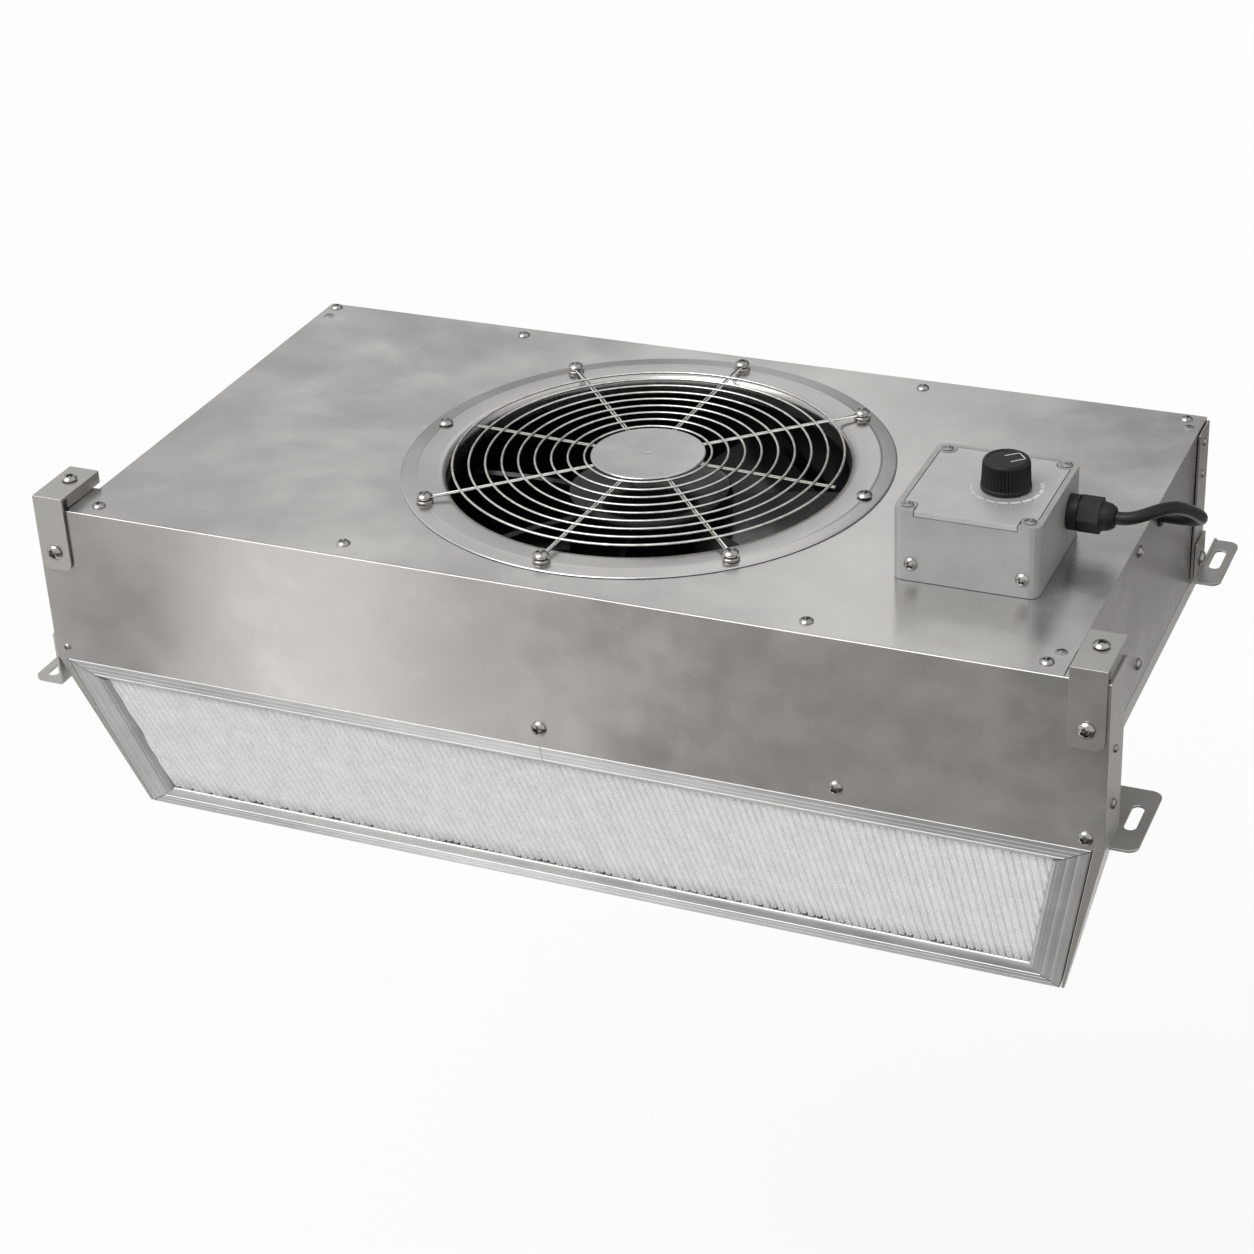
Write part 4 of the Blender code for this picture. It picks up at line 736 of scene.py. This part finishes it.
under_top_bar, under_low_bar = 0.002, 0.0012
paper_length = low_inner - top_bar + under_top_bar + under_low_bar
group, inside, outside = node_group(
    "folded paper", Pitch=fold_pitch, Depth=fold_depth, Front=paper_front, Top_Edge=top_bar - under_top_bar,
    Length=paper_length, Half=frame_half, Slant=0.19, Slant_Change=-0.32, Ragged=0.0034, Seed=7,
    Columns=2 * int(frame_half / fold_pitch) * fold_steps + 1, Rows=fold_rows)


def sum_of(operation, *values):
    """The result of one sum in the paper's node group, where a name stands for that input of the group."""
    return work_out(group, operation, *[inside.outputs[v] if isinstance(v, str) else v for v in values])


sheet = add_node(group, 'GeometryNodeMeshGrid', i0=1.0, i1=1.0, i2=inside.outputs["Columns"],
                 i3=inside.outputs["Rows"])
spot = add_node(group, 'ShaderNodeSeparateXYZ', i0=add_node(group, 'GeometryNodeInputPosition').outputs[0])
x_top = sum_of('MULTIPLY', spot.outputs[0], sum_of('MULTIPLY', "Half", 2.0))
turns = sum_of('DIVIDE', x_top, "Pitch")
fold_no = add_node(group, 'FunctionNodeFloatToInt', {"rounding_mode": 'FLOOR'}, i0=turns)
chance = add_node(group, 'FunctionNodeRandomValue', {"data_type": 'FLOAT'}, ID=fold_no.outputs[0],
                  Seed=inside.outputs["Seed"])
way_down = sum_of('SUBTRACT', 0.5, spot.outputs[1])
ragged = sum_of('MULTIPLY', sum_of('POWER', way_down, 6.0), sum_of('MULTIPLY', "Ragged", chance.outputs[1]))
down = sum_of('SUBTRACT', sum_of('MULTIPLY_ADD', way_down, "Length", "Top Edge"), ragged)
slant = sum_of('MULTIPLY_ADD', x_top, "Slant Change", "Slant")
x_low = sum_of('MULTIPLY_ADD', slant, sum_of('MULTIPLY', way_down, "Length"), x_top)
reach = sum_of('MULTIPLY_ADD', down, -frame_taper / frame_slope, frame_half - side_bar * 0.55)
x_kept = sum_of('MAXIMUM', sum_of('MINIMUM', x_low, reach), sum_of('MULTIPLY', reach, -1.0))
wave = sum_of('ABSOLUTE', sum_of('SINE', sum_of('MULTIPLY', turns, math.pi)))
ripple = sum_of('ABSOLUTE', sum_of('SINE', sum_of('MULTIPLY', turns, 2 * math.pi)))
ripple = sum_of('MULTIPLY', sum_of('POWER', sum_of('SUBTRACT', 1.0, ripple), 1.4), 0.42)
valley = sum_of('POWER', sum_of('SUBTRACT', 1.0, wave), 1.3)
inward = sum_of('MULTIPLY_ADD', sum_of('MULTIPLY_ADD', valley, 0.75, ripple), "Depth", "Front")
y_at = sum_of('MULTIPLY_ADD', inward, math.cos(frame_lean),
              sum_of('MULTIPLY_ADD', down, math.sin(frame_lean), front_y))
z_at = sum_of('MULTIPLY_ADD', inward, math.sin(frame_lean),
              sum_of('MULTIPLY_ADD', down, -math.cos(frame_lean), frame_top))
there = add_node(group, 'ShaderNodeCombineXYZ', i0=x_kept, i1=y_at, i2=z_at)
laid = add_node(group, 'GeometryNodeSetPosition', Geometry=sheet.outputs[0], Position=there.outputs[0])
joined = add_node(group, 'GeometryNodeMergeByDistance', Geometry=laid.outputs[0], Distance=0.00002)
real = add_node(group, 'GeometryNodeRealizeInstances', Geometry=joined.outputs[0])
send_out(group, outside, real.outputs[0], filter_paper)
folds = run_group(group, "filter_folds")
work = bmesh.new()
work.from_mesh(folds.data)
if sum(face.normal.y * face.calc_area() for face in work.faces) > 0:
    bmesh.ops.reverse_faces(work, faces=work.faces)
for face in work.faces:
    face.smooth = True
for edge in work.edges:
    edge.smooth = edge.calc_face_angle(0) < math.radians(60)
work.to_mesh(folds.data)
work.free()
paper = folds.modifiers.new("paper", 'SOLIDIFY')
paper.thickness = paper_thick
paper.offset = -1.0
settle(folds, "filter_paper", "pleated_filter")

# Dial box
# A die cast aluminium box, blasted to a fine matte grey, with a lid let in flush. Its
# corner ears carry the lid's screws, and its front edge is well rounded.


def blasted_casting(name, dark, light):
    """Cast aluminium, blasted to an even fine grit."""
    material, tree, shader, place = new_material(name)
    grit = noise(tree, place, 0.0006, detail=4, roughness=0.7)
    cast = noise(tree, place, 0.018, detail=3)
    connect(tree, shader, Base_Color=ramp(tree, cast, [(0.3, dark), (0.7, light)]), Metallic=0.5,
            Roughness=span(tree, grit, 0.3, 0.7, 0.40, 0.55), Normal=bump(tree, grit, 0.5, 0.00025))
    return material


cast_grey = blasted_casting("blasted cast aluminium", "#A6A6A5", "#B1B1B0")
# The lid is cast and blasted like the box, with the same grit. Its lighter copy of the colour is painted
# light for the box's top, where the lamp falls most.
lid_grey_painted_lighter = blasted_casting("blasted cast aluminium, painted lighter", "#BBBBBB", "#C5C5C5")
box_low, box_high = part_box("control_box")


def box_share(a, b):
    """The box is well rounded outside, and the seat of its lid stays sharp."""
    near, play, seat_depth = 0.003, 0.0004, 0.006
    ways = [(box_low[i], box_high[i], min(a[i], b[i]), max(a[i], b[i])) for i in (0, 1)]
    outside = any(last < low + near or first > high - near for low, high, first, last in ways)
    seat = any(low + play < first < low + seat_depth or high - seat_depth < last < high - play
               for low, high, first, last in ways)
    return 1.0 if outside and not seat else 0.12


eased("control_box", "dial_box", 0.0008, cast_grey, "cast_grey", segments=3, share=box_share)
lid = eased("control_box_lid", "dial_box_lid", 0.0002, lid_grey_painted_lighter, "cast_grey")
lid_low, lid_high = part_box("control_box_lid")
lid_play = 0.0002
for corner in lid.data.vertices:
    for i in (0, 1):
        middle, half = (lid_low[i] + lid_high[i]) / 2, (lid_high[i] - lid_low[i]) / 2
        corner.co[i] = middle + (corner.co[i] - middle) * (1 - lid_play / half)

# Dial print
# A pale scale is printed round the knob: a band that widens from off to full, with
# short marks across it.
lid_top, dial_centre = 0.1368, (0.2200, -0.0440)
material, tree, shader, place = new_material("pale screen print")
wear = noise(tree, place, 0.0015, detail=3)
connect(tree, shader, Base_Color=ramp(tree, wear, [(0.3, "#D9D9D9"), (0.6, "#F0F0F0")]), Roughness=0.6)
pale_ink = material
print_height = 0.00006
start, end, steps, steps_a_mark = math.radians(190), math.radians(395), 60, 6
band_inner, band_thin, band_growth = 0.0176, 0.0003, 0.0020
mark_inner, mark_outer, half_mark = 0.0203, 0.0217, 0.00018


def round_knob(r, a, level):
    """A point at a radius and an angle round the knob's axis."""
    return Vector((dial_centre[0] + r * math.cos(a), dial_centre[1] + r * math.sin(a), level))


work = bmesh.new()
rim = []
for i in range(steps + 1):
    a = start + (end - start) * i / steps
    rim.append([work.verts.new(round_knob(r, a, lid_top + print_height))
                for r in (band_inner, band_inner + band_thin + band_growth * i / steps)])
for i, (here, there) in enumerate(zip(rim, rim[1:])):
    if i % steps_a_mark != steps_a_mark - 1:
        work.faces.new((here[0], here[1], there[1], there[0]))
for i in range(0, steps + 1, steps_a_mark):
    a = start + (end - start) * i / steps
    across = Vector((-math.sin(a), math.cos(a), 0)) * half_mark
    low, high = [round_knob(r, a, lid_top + print_height) for r in (mark_inner, mark_outer)]
    work.faces.new([work.verts.new(p) for p in (low - across, high - across, high + across, low + across)])
bmesh.ops.recalc_face_normals(work, faces=work.faces)
for face in work.faces:
    if face.normal.z < 0:
        face.normal_flip()
settle(add_object("dial_print", to_mesh(work, "dial_print", pale_ink)), "cast_grey")

# Speed knob
# Moulded black plastic with fine ribs for the fingers, a smooth skirt and a pale mark
# on its top. It turns with the shaft of the potentiometer.
knob_low, knob_high = 0.1371, 0.1533
ribs, rib_steps = 40, 8
material, tree, shader, place = new_material("matte black knob plastic")
grit = noise(tree, place, 0.0004, detail=3)
connect(tree, shader, Base_Color=to_linear("#101011"), Specular_IOR_Level=0.3,
        Roughness=span(tree, grit, 0.3, 0.7, 0.38, 0.52), Normal=bump(tree, grit, 0.3, 0.0001))
matte_black = material

# Each level has a height, a radius and the depth of the grooves between the ribs.
levels = [(knob_low, 0.0128, 0.0), (knob_low + 0.0003, 0.0132, 0.0), (knob_low + 0.0020, 0.0132, 0.0),
          (knob_low + 0.0024, 0.0127, 0.0), (knob_low + 0.0026, 0.0129, 0.0010),
          (knob_high - 0.0022, 0.0124, 0.0010), (knob_high - 0.0016, 0.0123, 0.0003),
          (knob_high - 0.0005, 0.0117, 0.0), (knob_high, 0.0111, 0.0), (knob_high, 0.0102, 0.0),
          (knob_high - 0.0004, 0.0099, 0.0)]
work = bmesh.new()
rings = []
for z, radius, depth in levels:
    ring = []
    for i in range(ribs * rib_steps):
        wave = 0.5 - 0.5 * math.cos(2 * math.pi * (i % rib_steps) / rib_steps)
        ring.append(work.verts.new(round_knob(radius - depth * wave ** 0.8,
                                              2 * math.pi * i / (ribs * rib_steps), z)))
    rings.append(ring)
for lower, upper in zip(rings, rings[1:]):
    for i in range(len(lower)):
        j = (i + 1) % len(lower)
        work.faces.new((lower[i], lower[j], upper[j], upper[i]))
work.faces.new(rings[-1])
work.faces.new(rings[0][::-1])
bmesh.ops.recalc_face_normals(work, faces=work.faces)
shade_smooth(work, 50)
settle(add_object("knob_cap", to_mesh(work, "knob_cap", matte_black)), "black_matte", "speed_knob",
       body="speed_knob")

mark_level = knob_high - 0.0004 + print_height
mark_turn = math.radians(40)
mark_width = 0.00028
mark_corners = [(0.0008, 0.0038), (0.0088, 0.0036), (0.0088, -0.0036), (0.0008, -0.0038)]
mark_corners = [Matrix.Rotation(mark_turn, 2) @ Vector(c) for c in mark_corners]
work = bmesh.new()
for a, b in zip(mark_corners, mark_corners[1:]):
    along = (b - a).normalized() * mark_width
    side = Vector((-along.y, along.x))
    corners = (a - along - side, b + along - side, b + along + side, a - along + side)
    face = work.faces.new([work.verts.new((dial_centre[0] + c.x, dial_centre[1] + c.y, mark_level))
                           for c in corners])
    face.normal_update()
    if face.normal.z < 0:
        face.normal_flip()
settle(add_object("knob_mark", to_mesh(work, "knob_mark", pale_ink)), "black_matte", body="speed_knob")

# Cable gland and grommet
# A black nylon gland with a hexagonal nut and a domed cap clamps the cable at the box,
# and a rubber grommet lines the hole where it goes into the side.
eased("gland_nut", "gland_hexagon", 0.0004, matte_black, "black_matte", segments=3)
smoothed("cable_gland", "gland_body", matte_black, "black_matte")
smoothed("cable_grommet", "cable_grommet_ring", matte_black, "cable_black")

# Floor, backdrop and light
# A wide pale floor under the hanging unit, a white studio round it, a soft lamp from
# the upper left and cards that only the metal sees, as in a product photograph.
floor_level, floor_half = -0.60, 9
floor_mesh = bpy.data.meshes.new("studio_floor")
floor_mesh.from_pydata([(x * floor_half, y * floor_half, floor_level)
                        for x, y in ((-1, -1), (1, -1), (1, 1), (-1, 1))], [], [(0, 1, 2, 3)])
floor = add_object("studio_floor", floor_mesh)


def directly_seen(tree):
    """1 for rays that the camera sees straight, in a mirror or through glass, and 0 for light."""
    ray = add_node(tree, "ShaderNodeLightPath").outputs
    straight = work_out(tree, 'MAXIMUM', ray["Is Camera Ray"], ray["Is Glossy Ray"])
    return work_out(tree, 'MAXIMUM', straight, ray["Is Transmission Ray"])


material, tree, shader, place = new_material("pale studio floor")
connect(tree, shader, Base_Color=to_linear("#F7F7F7"), Roughness=0.9, Specular_IOR_Level=0.0)
white = add_node(tree, "ShaderNodeEmission", Color=(1, 1, 1, 1), Strength=1.0)
white_share = 0.88
amount = work_out(tree, 'MULTIPLY', directly_seen(tree), white_share)
both = add_node(tree, "ShaderNodeMixShader", i0=amount, i1=shader.outputs[0], i2=white.outputs[0])
output = [node for node in tree.nodes if node.bl_idname == "ShaderNodeOutputMaterial"][0]
connect(tree, output, Surface=both.outputs[0])
floor_mesh.materials.append(material)

world = bpy.data.worlds.new("white studio")
world.use_nodes = True
scene.world = world
tree = world.node_tree
tree.nodes.clear()
lighting_share = 0.40
strength = span(tree, directly_seen(tree), 0.0, 1.0, lighting_share, 1.0)
glow = add_node(tree, "ShaderNodeBackground", Color=(1, 1, 1, 1), Strength=strength)
add_node(tree, "ShaderNodeOutputWorld", Surface=glow.outputs[0])

sun_data = bpy.data.lights.new("soft_key", 'SUN')
sun_data.energy = 2.0
sun_data.angle = math.radians(50)
sun = add_object("soft_key", sun_data)
sun.rotation_euler = (math.radians(27), math.radians(-24), 0)


def card(name, corners, power, *shadings):
    """A flat card that only reflections see; each shading is a direction, its span and its stops."""
    mesh = bpy.data.meshes.new(name)
    mesh.from_pydata(corners, [], [(0, 1, 2, 3)])
    made = add_object(name, mesh)
    material = bpy.data.materials.new(name)
    material.use_nodes = True
    tree = material.node_tree
    tree.nodes.clear()
    place = add_node(tree, "ShaderNodeTexCoord").outputs["Object"]
    colour = (1, 1, 1)
    for across, low, high, shades in shadings:
        way = add_node(tree, "ShaderNodeVectorMath", {"operation": 'DOT_PRODUCT'}, i0=place, i1=across)
        shade = ramp(tree, span(tree, way.outputs["Value"], low, high, 0.0, 1.0), shades)
        product = add_node(tree, "ShaderNodeVectorMath", {"operation": 'MULTIPLY'}, i0=shade, i1=colour)
        colour = product.outputs[0]
    glow = add_node(tree, "ShaderNodeEmission", Color=colour, Strength=power)
    add_node(tree, "ShaderNodeOutputMaterial", Surface=glow.outputs[0])
    mesh.materials.append(material)
    for way in ("camera", "diffuse", "shadow", "transmission", "volume_scatter"):
        setattr(made, "visible_" + way, False)


card("floor_card", [(-3.0, -4.0, -0.5), (3.0, -4.0, -0.5), (3.0, -0.2, -0.5), (-3.0, -0.2, -0.5)], 3.2,
     ((0.832, -0.555, 0), -0.32, 0.68,
      [(0.000, "#787877"), (0.100, "#747372"), (0.150, "#5F5E5D"), (0.190, "#646362"),
       (0.215, "#787877"), (0.240, "#959493"), (0.262, "#BAB9B7"), (0.292, "#FDFBF9"),
       (0.318, "#B1B1AF"), (0.342, "#8D8D8C"), (0.407, "#9F9E9D"), (0.470, "#9A9998"),
       (0.505, "#94928F"), (0.535, "#676563"), (0.580, "#5A5957"), (0.680, "#676563"),
       (0.800, "#6A6966"), (0.880, "#5A5957"), (0.940, "#444341"), (1.000, "#3A3937")]))
card("side_card", [(0.40, -0.2, -0.5), (4, -0.2, -0.5), (4, 4, -0.5), (0.40, 4, -0.5)], 1.0,
     ((0, 1, 0), 0.2, 1.4, [(0.0, "#8A8886"), (0.5, "#B8B6B4"), (1.0, "#6A6866")]))
card("back_card", [(-4, 2.6, 0.0), (4, 2.6, 0.0), (4, 2.6, 3.2), (-4, 2.6, 3.2)], 1.5,
     ((1, 0, 0), -2.4, 0.3,
      [(0.000, "#C1C1C1"), (0.222, "#C5C5C5"), (0.444, "#CBCBCB"), (0.537, "#E0E0E0"),
       (0.611, "#FFFFFF"), (0.704, "#C3C3C3"), (0.796, "#9C9C9C"), (1.000, "#959595")]),
     ((0, 0, 1), 0.9, 2.4,
      [(0.000, "#B3B3B3"), (0.233, "#BCBCBC"), (0.400, "#F6F6F6"), (0.600, "#FFFFFF"),
       (1.000, "#FFFFFF")]))

scene.view_settings.view_transform = 'Standard'
